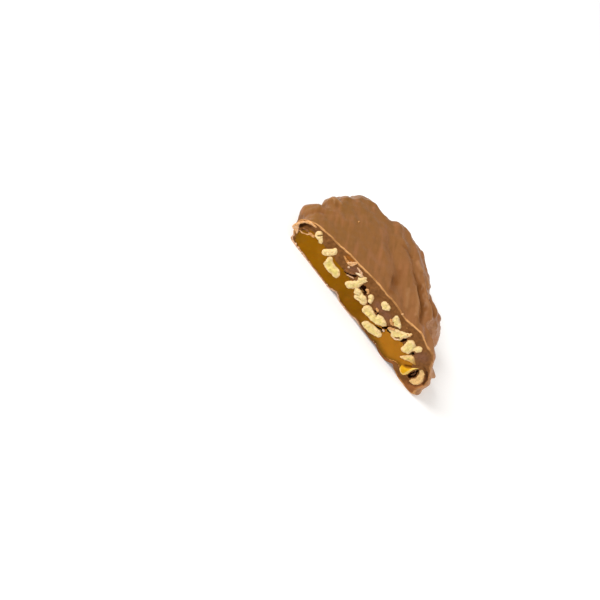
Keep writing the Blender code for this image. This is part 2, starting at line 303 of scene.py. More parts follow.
# Depths behind the cut of a piece and of its narrower back, and how much narrower that is
PECAN_DEPTH = 1.3
PECAN_BACK_DEPTH = 2.3
PECAN_BACK_INSET = 0.6
PECAN_VOXEL = 0.20
PECAN_SMOOTHING = 7
PECAN_FRONT = (0.8, 0.2)
PECAN_FACING = (0.15, 0.55)
PECAN_CROWN = 0.34
PECAN_CROWN_WIDTH = 0.95
CROWN_FRONT = (0.7, -0.1)
PECAN_WAVES = (
    (3.0, 0.08, 51),
    (1.3, 0.05, 52),
)
PECAN_FACE_WAVES = (
    (2.2, 0.07, 53),
    (0.9, 0.025, 54),
)
POCKET_INSET = 0.14
POCKET_VOXEL = 0.30

# Slits and folds: two ends in the cut, half width, depth. Flesh and painted shade set in at these depths
GROOVE_FLESH = (0.1, 0.3)
GROOVE_SHADE = (0.10, 0.55)
GROOVES = {
    "pecan_01": ((-30.7, 11.8, -29.8, 13.7, 0.24, 0.8),),
    "pecan_02": ((-24.2, 9.4, -23.0, 11.6, 0.35, 0.12),),
    "pecan_03": ((-20.6, 6.4, -17.0, 8.2, 0.45, 0.16),),
    "pecan_04": (
        (-9.3, 15.5, -9.0, 15.7, 0.30, 0.8),
        (-9.0, 11.4, -7.2, 10.6, 0.32, 0.22),
        (-8.8, 12.6, -8.4, 14.4, 0.22, 0.22),
        (-7.4, 12.8, -7.6, 15.2, 0.20, 0.22),
    ),
    "pecan_05": (
        (-5.2, 8.3, -4.0, 9.5, 0.26, 0.40),
        (-3.4, 8.7, -1.4, 9.4, 0.22, 0.32),
        (-4.1, 11.3, -3.4, 9.9, 0.22, 0.35),
        (-1.6, 10.5, -0.6, 10.0, 0.20, 0.22),
    ),
    "pecan_06": ((-0.9, 12.6, 0.2, 13.6, 0.20, 0.22),),
    "pecan_08": (
        (2.2, 7.8, 8.4, 9.3, 0.40, 0.14),
        (5.7, 10.9, 6.4, 9.9, 0.35, 0.40),
        (2.0, 9.6, 4.6, 9.6, 0.25, 0.12),
    ),
    "pecan_09": ((7.0, 3.4, 11.4, 4.9, 0.40, 0.12),),
    "pecan_10": (
        (10.8, 14.2, 10.7, 16.6, 0.75, 0.26),
        (11.5, 13.9, 11.9, 14.9, 0.28, 0.75),
        (12.1, 15.2, 13.8, 16.0, 0.22, 0.25),
    ),
    "pecan_11": (
        (17.1, 11.3, 17.9, 12.5, 0.34, 1.0),
        (14.8, 12.6, 17.4, 14.9, 0.28, 0.20),
    ),
    "pecan_12": (
        (24.1, 16.3, 23.9, 15.0, 0.32, 0.35),
        (23.9, 15.0, 24.6, 13.6, 0.26, 0.20),
        (22.2, 12.2, 22.6, 15.0, 0.40, 0.10),
    ),
    "pecan_13": ((25.4, 9.2, 27.4, 10.2, 0.35, 0.18),),
    "pecan_14": ((34.7, 7.6, 35.4, 5.2, 0.35, 0.12),),
}
# Soft folds in the chocolate's cut, darkened with painted shade
CUT_FOLD_SHADE = (0.10, 0.75)
CUT_GROOVES = (
    (32.6, 13.0, 34.4, 12.4, 0.60, 0.40),
    (34.4, 12.4, 36.6, 10.4, 0.75, 0.75),
    (36.6, 10.4, 37.4, 7.6, 0.65, 0.70),
    (37.4, 7.6, 36.8, 4.0, 0.50, 0.28),
    (36.8, 4.0, 34.4, 2.2, 0.60, 0.30),
    (34.4, 2.2, 32.4, 3.2, 0.60, 0.40),
    (-36.1, 7.5, -35.0, 7.8, 0.45, 0.60),
    (-37.7, 7.6, -37.1, 10.2, 0.70, 1.00),
    (-37.1, 10.2, -35.2, 11.2, 0.70, 0.60),
    (-35.2, 11.2, -32.6, 11.9, 0.80, 0.35),
)
# Amber and mauve stains of the chocolate's cut, and a paler one at its foot: two ends, half
# width, strength
AMBER_STAINS = (
    (-17.6, 16.9, -15.7, 17.5, 1.2, 1.0),
)
MAUVE_STAINS = (
    (-13.4, 15.0, -12.0, 16.3, 1.3, 1.0),
    (-14.6, 12.2, -11.4, 14.0, 0.5, 1.0),
    (3.0, 14.0, 9.0, 14.4, 1.6, 1.0),
    (27.6, 14.6, 29.0, 16.0, 2.2, 1.0),
)
FOOT_STAINS = (
    (19.0, 0.6, 24.0, 2.6, 1.3, 1.0),
)
# Folds in the caramel beside its lip, darkened with painted shade
CARAMEL_FOLD_SHADE = (0.05, 0.35)
CARAMEL_GROOVES = (
    (27.8, 6.6, 28.6, 7.5, 0.50, 0.40),
    (28.6, 7.5, 30.2, 9.6, 0.50, 0.40),
)

# Golden lip of caramel folded over the end of the slab, and its pale outer edge
LIP = (
    (27.0, 5.4), (27.4, 3.6), (28.8, 2.6), (30.4, 2.9), (31.0, 4.8), (30.9, 6.6), (30.9, 8.3),
    (31.2, 9.8), (31.6, 11.0), (30.6, 9.9), (29.9, 8.4), (29.4, 7.0), (28.4, 6.0),
)
LIP_PROUD = 0.60
LIP_DEPTH = 0.5
LIP_CROWN = 0.4
LIP_FRONT = (-0.02, -0.22)
LIP_BORDER = (0.5, 0.1)
LIP_CORE = ((28.9, 4.6), (30.6, 9.0))
LIP_CORE_WIDTH = (2.4, 1.6)
LIP_EDGE = (
    (27.7, 3.4), (28.9, 2.8), (30.3, 3.2), (30.5, 4.6),
    (30.5, 6.4), (30.5, 8.2), (30.8, 9.7), (31.3, 10.8),
)
LIP_EDGE_WIDTH = 0.52

# Hollows that open at the cut: outlines of pairs x, z, or strokes of x, z and width
HOLLOWS = (
    ((-14.2, 11.1, 0.4), (-12.8, 11.8, 0.6), (-11.6, 12.8, 0.6), (-10.7, 13.6, 1.0), (-10.2, 14.7, 0.5)),
    (
        (-6.3, 12.1), (-6.3, 13.6), (-5.6, 14.9), (-4.6, 15.0),
        (-4.1, 13.9), (-2.9, 13.6), (-2.3, 12.7), (-3.2, 11.9),
    ),
    ((0.5, 11.0, 0.7), (0.9, 11.3, 0.7)),
    ((4.2, 11.3, 0.6), (4.9, 11.4, 0.6)),
    ((5.6, 11.3, 0.9), (6.2, 11.7, 0.8)),
    ((8.8, 6.9, 0.5), (10.4, 7.5, 1.1), (11.9, 7.8, 1.5), (12.6, 7.9, 0.9)),
    ((10.9, 9.0, 0.6), (11.6, 9.6, 1.1), (12.1, 10.4, 1.2), (12.0, 11.8, 0.9)),
    ((13.0, 10.0, 0.8), (14.3, 10.6, 0.8)),
    ((18.8, 11.8, 0.9), (19.4, 13.3, 1.2), (19.9, 14.9, 0.9)),
    ((25.5, 11.3, 0.7), (25.4, 12.6, 1.1), (25.8, 13.8, 0.9)),
    ((31.5, 4.3), (32.7, 4.2), (33.4, 6.4), (32.9, 8.7), (32.0, 10.4), (31.4, 9.4), (31.3, 7.4), (31.2, 5.7)),
)
HOLLOW_DEPTH = 2.2
HOLLOW_VOXEL = 0.20
HOLLOW_SMOOTHING = 2
HOLLOW_ROUGHNESS = 0.09
HOLLOW_WAVE = 1.3
HOLLOW_SEED = 61

# Torn flakes of the coat and scraps on the cut, a pale foot line that is partly a painted highlight, and a
# painted highlight in the pocket at the tip: tint, how far they stand out, shape. The tint runs from brown at
# 0 over orange and tan to pinkish white at 0.8, and to nut cream at 1.
FLAKES = (
    (0.50, 0.50, (
        (-39.2, 5.2, 0.6), (-39.1, 6.8, 0.8), (-38.8, 8.5, 0.8), (-38.1, 10.4, 0.8), (-36.9, 12.0, 0.8),
        (-35.8, 13.0, 0.8), (-34.6, 13.5, 0.6), (-33.6, 13.7, 0.4),
    )),
    (0.56, 0.40, (
        (-38.8, 9.0), (-39.4, 7.2), (-39.6, 5.2), (-38.9, 4.3), (-37.9, 4.7),
        (-36.6, 4.2), (-36.1, 4.7), (-36.9, 5.9), (-37.9, 7.2),
    )),
    (0.06, 0.22, ((-36.3, 8.2, 0.5), (-35.5, 8.8, 0.8), (-34.6, 9.2, 0.8), (-33.7, 9.4, 0.6))),
    (0.50, 0.20, (
        (-36.4, 6.3, 0.35), (-35.2, 6.6, 0.45), (-34.2, 7.4, 0.5), (-33.4, 8.3, 0.6), (-33.4, 9.2, 0.6),
    )),
    (0.44, 0.22, ((-33.9, 9.0, 0.5), (-33.0, 9.3, 1.1), (-32.1, 9.6, 1.2), (-31.2, 9.9, 0.8))),
    # Pale line at the foot: the coat's thin edge, partly a painted highlight
    (0.64, 0.14, (
        (-36.2, 1.6, 0.3), (-35.3, 0.7, 0.4), (-33.8, 0.4, 0.4), (-31.6, 0.4, 0.5), (-29.4, 0.4, 0.4),
        (-28.2, 0.5, 0.6), (-27.4, 0.4, 0.3),
    )),
    (0.32, 0.22, ((-19.0, 15.7, 0.4), (-17.8, 15.5, 0.8), (-16.4, 15.3, 1.1), (-15.4, 15.6, 1.0))),
    (0.53, 0.45, (
        (-16.2, 15.2, 0.6), (-15.4, 15.6, 1.3), (-14.9, 16.4, 1.8),
        (-14.5, 17.4, 1.3), (-14.2, 18.3, 0.9), (-14.0, 19.0, 0.5),
    )),
    (0.62, 0.30, ((-14.9, 14.1, 0.7), (-14.3, 14.5, 0.7))),
    (0.05, 0.20, ((-14.8, 12.0, 0.4), (-13.8, 12.4, 0.5), (-12.8, 13.2, 0.5), (-11.4, 14.1, 0.5))),
    (0.58, 0.18, ((-12.8, 11.0, 0.35), (-11.4, 12.1, 0.55), (-10.1, 12.9, 0.4))),
    (0.62, 0.40, ((-12.4, 17.5, 0.4), (-11.2, 17.4, 0.7), (-9.9, 17.2, 0.8), (-8.9, 16.8, 0.8))),
    (0.92, 0.35, ((-11.2, 15.3, 0.4), (-10.4, 15.9, 0.8), (-9.7, 16.3, 1.0), (-9.0, 16.4, 0.9))),
    (0.40, 0.50, ((10.3, 15.0, 0.8), (11.3, 14.3, 1.2), (12.6, 14.2, 0.8))),
    (0.44, 0.35, ((-4.1, 14.1, 0.5), (-3.4, 14.7, 1.1), (-2.7, 14.3, 0.9), (-2.4, 13.4, 0.4))),
    (0.46, 0.55, ((12.5, 11.2, 0.6), (13.2, 12.3, 0.9), (14.3, 13.3, 0.6))),
    (0.38, 0.50, ((18.4, 16.7, 0.4), (19.0, 17.4, 0.7), (19.4, 18.4, 0.5))),
    (0.74, 0.52, ((16.2, 10.4, 0.3), (17.2, 10.9, 0.4), (18.2, 11.9, 0.3))),
    (0.44, 0.22, ((3.7, 12.7), (4.5, 13.1), (5.4, 12.6), (5.5, 12.0), (4.7, 11.9), (3.9, 12.1))),
    (0.72, 0.30, ((12.0, 8.4, 0.8), (12.5, 8.9, 0.9))),
    (0.30, 0.12, (
        (21.6, 1.7, 0.3), (23.2, 2.5, 0.35), (24.1, 3.6, 0.4), (25.4, 4.2, 0.35), (27.0, 4.0, 0.3),
    )),
    (0.00, -0.80, ((32.1, 5.2, 0.4), (32.5, 6.4, 0.6), (32.3, 7.6, 0.4))),
    # Pale fleck set back in the pocket at the tip: a painted highlight
    (0.76, -0.10, ((31.3, 8.3, 0.3), (31.5, 9.1, 0.3))),
)
FLAKE_BACK = 0.35
FLAKE_VOXEL = 0.12
FLAKE_SMOOTHING = 3
FLAKE_WAVES = (
    (1.1, 0.06, 71),
)
# Crumbs: x, y, z, width, tint
CRUMBS = (
    (-33.2, -0.1, 0.7, 0.8, 0.68),
    (-31.5, -0.1, 0.6, 0.8, 0.68),
    (-29.5, -0.2, 0.5, 0.7, 0.80),
    (-28.0, -0.2, 0.4, 0.5, 0.72),
    (-14.0, -0.2, 0.5, 0.7, 0.72),
    (-11.6, -0.1, 1.2, 0.4, 0.64),
    (-3.4, -0.1, 0.5, 0.5, 0.64),
    (0.7, -0.1, 0.5, 0.4, 0.64),
    (11.2, 0.0, 20.6, 0.8, 0.56),
    (16.5, -0.1, 18.4, 0.5, 0.32),
    (18.7, -0.1, 17.8, 0.4, 0.32),
    (-25.3, 17.9, 16.6, 0.6, 0.44),
)
CRUMB_ROUGHNESS = 0.22
CRUMB_WAVE = 1.1
CRUMB_SEED = 81
# Fine crumbs: their number and the ranges of what is drawn for each
FINE_CRUMB_COUNT = 46
FINE_CRUMB_X = (-34.0, 22.0)
FINE_CRUMB_Y = (-0.15, 0.05)
FINE_CRUMB_WIDTHS = (0.18, 0.38)
FINE_CRUMB_LIFT = 0.7
FINE_CRUMB_RISE = (0.0, 0.3)
FINE_CRUMB_TINTS = (0.4, 0.8)

# Colours, as linear red, green and blue
COAT_THIN_END = (0.222, 0.092, 0.020, 1.0)
COAT_THICK_END = (0.270, 0.110, 0.034, 1.0)
COAT_RED = (0.330, 0.128, 0.050, 1.0)
COAT_OLIVE = (0.190, 0.080, 0.018, 1.0)
# The coat pales towards the +X end with a painted sheen
COAT_PALE_END = (0.370, 0.185, 0.088, 1.0)
# Painted shade in the coat's creases, and painted highlight on its ridges
COAT_HOLLOW = (0.188, 0.064, 0.012, 1.0)
COAT_RIDGE = (0.350, 0.165, 0.064, 1.0)
COAT_SHEEN = (1.000, 0.780, 0.560, 1.0)
CUT_COLOUR = (0.175, 0.064, 0.012, 1.0)
CUT_COLOUR_PALE = (0.235, 0.094, 0.024, 1.0)
# Painted shade in the folds of the cut
CUT_COLOUR_DARK = (0.080, 0.026, 0.004, 1.0)
TIP_COLOUR = (0.300, 0.105, 0.028, 1.0)
# Pale line along the edge of the cut and at its foot: the paler torn edge with a painted highlight
RIM_COLOUR = (0.690, 0.345, 0.125, 1.0)
RIM_COLOUR_DARK = (0.400, 0.175, 0.050, 1.0)
FOOT_LINE_COLOUR = (0.720, 0.440, 0.280, 1.0)
AMBER_STAIN = (0.300, 0.095, 0.008, 1.0)
MAUVE_STAIN = (0.215, 0.088, 0.040, 1.0)
# Painted shade on the walls of the hollows
HOLLOW_COLOUR = (0.040, 0.010, 0.002, 1.0)
HOLLOW_COLOUR_PALE = (0.150, 0.048, 0.012, 1.0)
FLAKE_COLOURS = (
    (0.00, (0.180, 0.074, 0.034, 1.0)),
    (0.24, (0.460, 0.170, 0.020, 1.0)),
    (0.48, (0.680, 0.350, 0.130, 1.0)),
    (0.80, (0.800, 0.580, 0.420, 1.0)),
    (1.00, (0.760, 0.600, 0.320, 1.0)),
)
CARAMEL_AMBER = (0.292, 0.112, 0.0004, 1.0)
CARAMEL_OLIVE = (0.215, 0.080, 0.0004, 1.0)
CARAMEL_GOLD = (0.430, 0.165, 0.010, 1.0)
# Painted shade in the caramel's folds
CARAMEL_DARK = (0.170, 0.060, 0.0005, 1.0)
# Darker border low in the cut, and painted shade at the thin end
CARAMEL_BORDER_COLOUR = (0.205, 0.088, 0.006, 1.0)
LIP_COLOUR = (0.740, 0.380, 0.012, 1.0)
LIP_EDGE_COLOUR = (0.920, 0.590, 0.150, 1.0)
PECAN_CREAM = (0.850, 0.635, 0.300, 1.0)
PECAN_PALE = (0.900, 0.720, 0.400, 1.0)
PECAN_YELLOW = (0.800, 0.640, 0.190, 1.0)
PECAN_PEACH = (0.840, 0.520, 0.210, 1.0)
PECAN_GOLD = (0.500, 0.240, 0.030, 1.0)
PECAN_FLECK = (0.520, 0.350, 0.110, 1.0)
PECAN_SKIN = (0.560, 0.290, 0.090, 1.0)
# Painted shade in the pecans' slits and folds
PECAN_SHADE = (0.360, 0.190, 0.060, 1.0)

# Red and olive streaks of the coat run slantwise to the cut: their turn in plan, how much longer
# they are than wide, their share, and for each their width, detail and the noise where they set in
STREAK_TURN = radians(30)
STREAK_STRETCH = 6.0
STREAK_SHARE = 0.6
RED_STREAKS = (2.6, 3.0, 0.48, 0.72)
OLIVE_STREAKS = (1.9, 3.0, 0.50, 0.30)
# Stretches of the cut, in metres along it, over which colours change
COAT_THICK_X = (-30 * MM, 5 * MM)
# Stretch over which the coat's painted sheen sets in
COAT_PALE_X = (25 * MM, 35 * MM)
CARAMEL_OLIVE_X = (-22 * MM, 0 * MM)
CARAMEL_GOLD_X = (1 * MM, 15 * MM)
# Patches of colour: width, detail, the noise where they set in and are full, share there and there
RIM_PATCHES = (4.5, 2.0, 0.38, 0.60)
COAT_SHINE_PATCHES = (2.5, 3.0, 0.3, 0.7, 0.34, 0.46)
CUT_PATCHES = (2.2, 4.0, 0.35, 0.65)
HOLLOW_PATCHES = (1.2, 3.0, 0.35, 0.75)
FLAKE_CLOUDS = (0.9, 3.0, 0.3, 0.7, -0.10, 0.10)
CARAMEL_CLOUDS = (5.0, 3.0, 0.3, 0.7, -0.28, 0.28)
PECAN_PATCHES = (1.8, 3.0, 0.3, 0.7, 0.6, 1.2)
PECAN_SPECKLES = (0.8, 3.0, 0.45, 0.7)
PECAN_FLECKS = (0.9, 4.0, 0.55, 0.72, 0.0, 0.55)
COARSE = 0.6
# Fine bumps of each surface: width, detail, roughness, depth
COAT_BUMPS = ((0.7, 3.0, 0.5, 0.04), (3.0, 2.0, 0.5, 0.08))
CUT_BUMPS = ((0.35, 4.0, COARSE, 0.05), (1.2, 3.0, 0.5, 0.10))
HOLLOW_BUMPS = ((0.6, 3.0, 0.5, 0.10),)
FLAKE_BUMPS = ((0.4, 3.0, 0.5, 0.05),)
CARAMEL_BUMPS = ((2.2, 2.0, 0.5, 0.05),)
PECAN_BUMPS = ((0.35, 3.0, 0.5, 0.03), (1.0, 3.0, 0.5, 0.07))

# Light and camera
CAMERA_AZIMUTH = radians(-3.0)
CAMERA_ELEVATION = radians(42.0)
CAMERA_ROLL = radians(54.2)
CAMERA_DISTANCE = 700.0
CAMERA_AIM = (-14.5, 15.0, -28.7)
PHOTO_WIDTH = 600
FOCAL_PIXELS = 1778.5
SENSOR_WIDTH = 36.0
WORLD_STRENGTH = 0.55
LIGHT_DISTANCE = 0.60
KEY_DIRECTION = (-0.70, -0.24, 0.58)
KEY_SIZE = 0.30
KEY_POWER = 3.2
RIM_DIRECTION = (0.90, 0.22, 0.30)
RIM_SIZE = 0.25
RIM_POWER = 1.9
RIM_TINT = (1.0, 0.88, 0.74)
FLOOR_SIZE = 3.0
FLOOR_COLOUR = (0.93, 0.93, 0.93, 1.0)
FLOOR_GLOW = 0.12
WHITE = (1.0, 1.0, 1.0, 1.0)

# Material slots of a piece while it is cut
SLOT_COUNT = 3
OUTER_SLOT, CUT_SLOT, HOLLOW_SLOT = range(SLOT_COUNT)
# Block that stands for the half that is kept, wider than the patty
BLOCK_LEFT, BLOCK_RIGHT = -46.0, 43.0
BLOCK_BOTTOM, BLOCK_TOP = -1.0, 24.0
BLOCK_BACK = 60.0
# How far a cutter stands out in front of the cut
CUTTER_FRONT = -1.5
OUTLINE_SAMPLES = 10
# Sine waves that make up an unevenness: their number and the range of their paces
WAVE_COUNT = 16
WAVE_PACES = (0.7, 1.4)


def bell(offset, half_width):
    """A smooth bump of height one that fades over half_width."""
    return np.exp(-((offset / half_width) ** 2))


def smoothstep(low, high, value):
    """Zero at low, one at high and smooth between."""
    share = np.clip((value - low) / (high - low), 0.0, 1.0)
    return share * share * (3.0 - 2.0 * share)


def waves(points, length, seed):
    """Smooth unevenness of about unit height, made of sine waves of about that length."""
    random = np.random.default_rng(seed)
    directions = random.normal(size=(WAVE_COUNT, 3))
    directions /= np.linalg.norm(directions, axis=1)[:, None]
    pace = random.uniform(*WAVE_PACES, WAVE_COUNT) * 2 * pi / length
    phases = random.uniform(0.0, 2 * pi, WAVE_COUNT)
    total = np.sin(points @ (directions * pace[:, None]).T + phases).sum(axis=-1)
    return total / (WAVE_COUNT / 2) ** 0.5


def layered_waves(points, layers):
    """Sum of several layers of unevenness, each a length, a height and a seed."""
    return sum(height * waves(points, length, seed) for length, height, seed in layers)


def bearing_offset(bearing, middle):
    """Signed angle in degrees from one bearing to another, from -180 to 180."""
    return (np.degrees(bearing) - middle + 180.0) % 360.0 - 180.0


def rim_radius(bearing):
    """Plan radius of the widest part of the rim."""
    radius = PLAN_RADIUS
    for middle, height, half_width in RIM_LUMPS:
        radius = radius + height * bell(bearing_offset(bearing, middle), half_width)
    return radius


def scallops(bearing, reach, rise):
    """Small lumps of the rim, highest halfway up the side and gone at its foot and its top."""
    start = np.random.default_rng(SCALLOP_SEED).uniform(0.0, 2 * pi, len(SCALLOP_COUNTS))
    total = sum(np.cos(count * bearing + turn) for count, turn in zip(SCALLOP_COUNTS, start))
    return SCALLOP_HEIGHT * total * 4 * rise * (1 - rise) * reach ** 4


def side_lumps(bearing, reach, rise):
    """Lump and hollow of the side that stand at one height only."""
    distance = 0.0
    for middle, place, height, half_width, half_height in SIDE_LUMPS:
        around = bell(bearing_offset(bearing, middle), half_width)
        distance = distance + height * around * bell(rise - place, half_height)
    return distance * reach ** 4


def end_spread(bearing, reach, rise):
    """How much further out the side stands towards the +X end, as a share of the radius."""
    lean = END_FOOT - END_LEAN * rise
    return lean * bell(bearing_offset(bearing, END_MIDDLE), END_WIDTH) * reach ** 3


def top_height(x, y):
    """Height of the top of the patty over a point of the plan."""
    height = TOP_HEIGHT + TOP_SLOPE * x - TOP_FALL_X * x * x - TOP_FALL_Y * y * y
    across = x * cos(RIPPLE_BEARING) + y * sin(RIPPLE_BEARING)
    shown = 1.0 / (1.0 + np.exp((RIPPLE_START_X - x) / RIPPLE_FADE))
    for place, rise, half_width in RIPPLES:
        height = height + rise * shown * bell(across - place, half_width)
    return height


def patty_foot(x, y):
    """Height of the underside, which arches up a little along the edge of the cut."""
    along = sum(height * bell(x - place, half_width) for place, height, half_width in ARCHES)
    return along * bell(y, ARCH_REACH)


def caramel_radius(bearing):
    """Plan radius of the caramel slab, which stops short at the +X end of the cut."""
    short = (COAT_CUT_END - COAT_SIDE) * bell(bearing_offset(bearing, 0), COAT_CUT_END_WIDTH)
    return rim_radius(bearing) - COAT_SIDE - short


def caramel_foot(x, y):
    """Height of the caramel's underside."""
    start, end, height, reach = CARAMEL_RISE
    return COAT_BELOW + np.maximum(patty_foot(x, y), height * smoothstep(start, end, x) * bell(y, reach))


def caramel_top(x, y):
    """Height of the caramel's upper side."""
    height = CARAMEL_TOP
    for place, rise, half_width in CARAMEL_WAVES:
        height = height + rise * bell(x - place, half_width) * bell(y, CARAMEL_WAVE_REACH * half_width)
    return height


def catmull_rom(a, b, c, d, t):
    """Smooth curve from b to c, read at t."""
    bend = 2 * a - 5 * b + 4 * c - d
    twist = 3 * (b - c) + d - a
    return 0.5 * (2 * b + (c - a) * t + bend * t * t + twist * t ** 3)


def spline(points, places):
    """Open curve through the points, read at places counted in points."""
    points = np.array(points)
    last = len(points) - 1
    start = np.clip(places.astype(int), 0, last - 1)
    neighbours = (points[np.clip(start + k, 0, last)] for k in (-1, 0, 1, 2))
    return np.maximum(catmull_rom(*neighbours, (places - start)[:, None]), 0.0)


def closed_curve(points):
    """Smooth closed outline through the points, anticlockwise."""
    points = np.array(points, float)
    t = (np.arange(OUTLINE_SAMPLES) / OUTLINE_SAMPLES)[None, :, None]
    neighbours = (np.roll(points, shift, axis=0)[:, None, :] for shift in (1, 0, -1, -2))
    curve = catmull_rom(*neighbours, t).reshape(-1, 2)
    after = np.roll(curve, -1, axis=0)
    area = (curve[:, 0] * after[:, 1] - after[:, 0] * curve[:, 1]).sum()
    return curve if area > 0 else curve[::-1]


def outline_of(shape):
    """Smooth outline of a list of pairs x, z, or round a stroke of x, z and width."""
    shape = np.array(shape, float)
    if shape.shape[1] == 2:
        return closed_curve(shape)
    middle, half = shape[:, :2], shape[:, 2:] / 2
    along = np.gradient(middle, axis=0)
    along /= np.linalg.norm(along, axis=1, keepdims=True)
    aside = np.stack([-along[:, 1], along[:, 0]], axis=1) * half
    return closed_curve(np.concatenate([middle + aside, (middle - aside)[::-1]]))


def inset(outline, distance):
    """An anticlockwise outline moved inwards."""
    along = np.roll(outline, -1, axis=0) - np.roll(outline, 1, axis=0)
    inwards = np.stack([-along[:, 1], along[:, 0]], axis=1)
    inwards /= np.maximum(np.linalg.norm(inwards, axis=1, keepdims=True), 1e-6)
    return outline + distance * inwards


def even_rings(profile, radius, height, step):
    """The profile read so that each step along it has the length that step() asks for there."""
    fine = spline(profile, np.linspace(0.0, len(profile) - 1, PROFILE_SAMPLES))
    lengths = np.hypot(np.diff(fine[:, 0]) * radius, np.diff(fine[:, 1]) * height)
    middles = (fine[1:] + fine[:-1]) / 2
    counted = np.concatenate([[0.0], np.cumsum(lengths / step(middles))])
    places = np.linspace(0.0, counted[-1], int(round(counted[-1])) + 1)
    return np.stack([np.interp(places, counted, fine[:, k]) for k in (0, 1)], axis=1)


def patty_step(ring):
    """Mesh spacing at a point of the profile: wide below, fine on the side, medium on top."""
    side = (ring[:, 0] > SIDE_START_REACH).astype(float)
    top = (ring[:, 1] > TOP_START_RISE).astype(float)
    return side * SIDE_STEP + (1 - side) * (top * TOP_STEP + (1 - top) * UNDERSIDE_STEP)


def ring_form(rings, segments, radius, low, high, lumpy=False, grow=0.0):
    """Points of a flat rounded body, as an array of rings by segments by x, y, z."""
    bearing = np.linspace(0.0, 2 * pi, segments, endpoint=False)[None, :]
    reach, rise = rings[:, :1], rings[:, 1:]
    distance = reach * (radius(bearing) + grow)
    if lumpy:
        distance = distance + end_spread(bearing, reach, rise) * radius(bearing)
        distance = distance + scallops(bearing, reach, rise)
        distance = distance + side_lumps(bearing, reach, rise)
    x = PLAN_MIDDLE[0] + distance * np.cos(bearing)
    y = PLAN_MIDDLE[1] + distance * np.sin(bearing)
    floor = low(x, y) - grow
    z = floor + rise * (high(x, y) + grow - floor)
    return np.stack([x, y, z], axis=-1)


def grid_normals(form):
    """Outward normals of an array of rings by segments."""
    along = np.roll(form, -1, axis=1) - np.roll(form, 1, axis=1)
    up = np.gradient(form, axis=0)
    normals = np.cross(along, up)
    return normals / np.maximum(np.linalg.norm(normals, axis=-1, keepdims=True), 1e-9)


def grid_mesh(form):
    """Closed mesh of an array of rings by segments, whose first and last rings are points."""
    rings, segments = form.shape[:2]
    inner = form[1:-1].reshape(-1, 3)
    points = np.concatenate([form[0, :1], inner, form[-1, :1]])
    index = 1 + np.arange((rings - 2) * segments).reshape(rings - 2, segments)
    after = np.roll(index, -1, axis=1)
    quads = np.stack([index[:-1], after[:-1], after[1:], index[1:]], axis=-1).reshape(-1, 4)
    last = len(points) - 1
    below = np.stack([np.zeros(segments, int), after[0], index[0]], axis=-1)
    above = np.stack([np.full(segments, last), index[-1], after[-1]], axis=-1)
    mesh = bpy.data.meshes.new("form")
    mesh.from_pydata(points.tolist(), [], quads.tolist() + below.tolist() + above.tolist())
    return mesh


def work_object(name, mesh, kind=OUTER_SLOT):
    """An object of the mesh, with all its faces in the material slot of that number."""
    mesh.materials.clear()
    for slot in range(SLOT_COUNT):
        mesh.materials.append(None)
    mesh.polygons.foreach_set("material_index", np.full(len(mesh.polygons), kind, np.int32))
    piece = bpy.data.objects.new(name, mesh)
    bpy.context.scene.collection.objects.link(piece)
    return piece


def evaluated_mesh(piece):
    """The object's mesh with its modifiers applied."""
    bpy.context.view_layer.update()
    return bpy.data.meshes.new_from_object(piece.evaluated_get(bpy.context.evaluated_depsgraph_get()))


def boolean(piece, operation, cutters):
    """Apply a Boolean with each cutter in turn, then remove the cutters."""
    for cutter in cutters:
        modifier = piece.modifiers.new(operation.lower(), "BOOLEAN")
        modifier.operation = operation
        modifier.solver = "MANIFOLD"
        modifier.object = cutter
    piece.data = evaluated_mesh(piece)
    piece.modifiers.clear()
    for cutter in cutters:
        bpy.data.objects.remove(cutter)


def vertex_array(mesh, what="co"):
    """Vertex places or normals as an array."""
    values = np.empty(len(mesh.vertices) * 3, np.float32)
    mesh.vertices.foreach_get(what, values)
    return values.reshape(-1, 3).astype(float)


def set_vertices(mesh, points):
    """Move the mesh's vertices to these points."""
    mesh.vertices.foreach_set("co", np.ascontiguousarray(points, np.float32).ravel())
    mesh.update()


def set_attributes(mesh, **values):
    """Store numbers at each vertex, for the materials."""
    for name, numbers in values.items():
        attribute = mesh.attributes.new(name, "FLOAT", "POINT")
        attribute.data.foreach_set("value", np.ascontiguousarray(numbers, np.float32))


def distance_to_segment(points, start, end):
    """Distance of each point to a straight stretch, in any number of dimensions."""
    start, end = np.array(start, float), np.array(end, float)
    along = end - start
    share = np.clip((points - start) @ along / (along @ along), 0.0, 1.0)
    return np.linalg.norm(points - start - share[:, None] * along, axis=1)


def distance_to_line(points, line, closed=False):
    """Distance of each point to the nearest stretch of a line, or of an outline if closed."""
    nearest = np.full(len(points), np.inf)
    ends = np.roll(line, -1, axis=0) if closed else line[1:]
    for start, end in zip(line, ends):
        if np.hypot(end[0] - start[0], end[1] - start[1]) > 1e-6:
            nearest = np.minimum(nearest, distance_to_segment(points, start, end))
    return nearest


def stroke_depth(points, strokes, together=np.maximum):
    """How deep each point lies in the strokes, each two ends, a half width and a depth."""
    depth = np.zeros(len(points))
    for x0, y0, x1, y1, half_width, deepest in strokes:
        away = distance_to_segment(points, (x0, y0), (x1, y1))
        depth = together(depth, deepest * bell(away, half_width))
    return depth


def crease_depth(plan):
    """How deep each point of the plan is pressed in, or how far it's raised if negative."""
    length, reach, *seeds = CREASE_WANDER
    flat = np.column_stack([plan, np.zeros(len(plan))])
    wandered = plan + reach * np.column_stack([waves(flat, length, seed) for seed in seeds])
    return stroke_depth(wandered, CREASES, np.add)


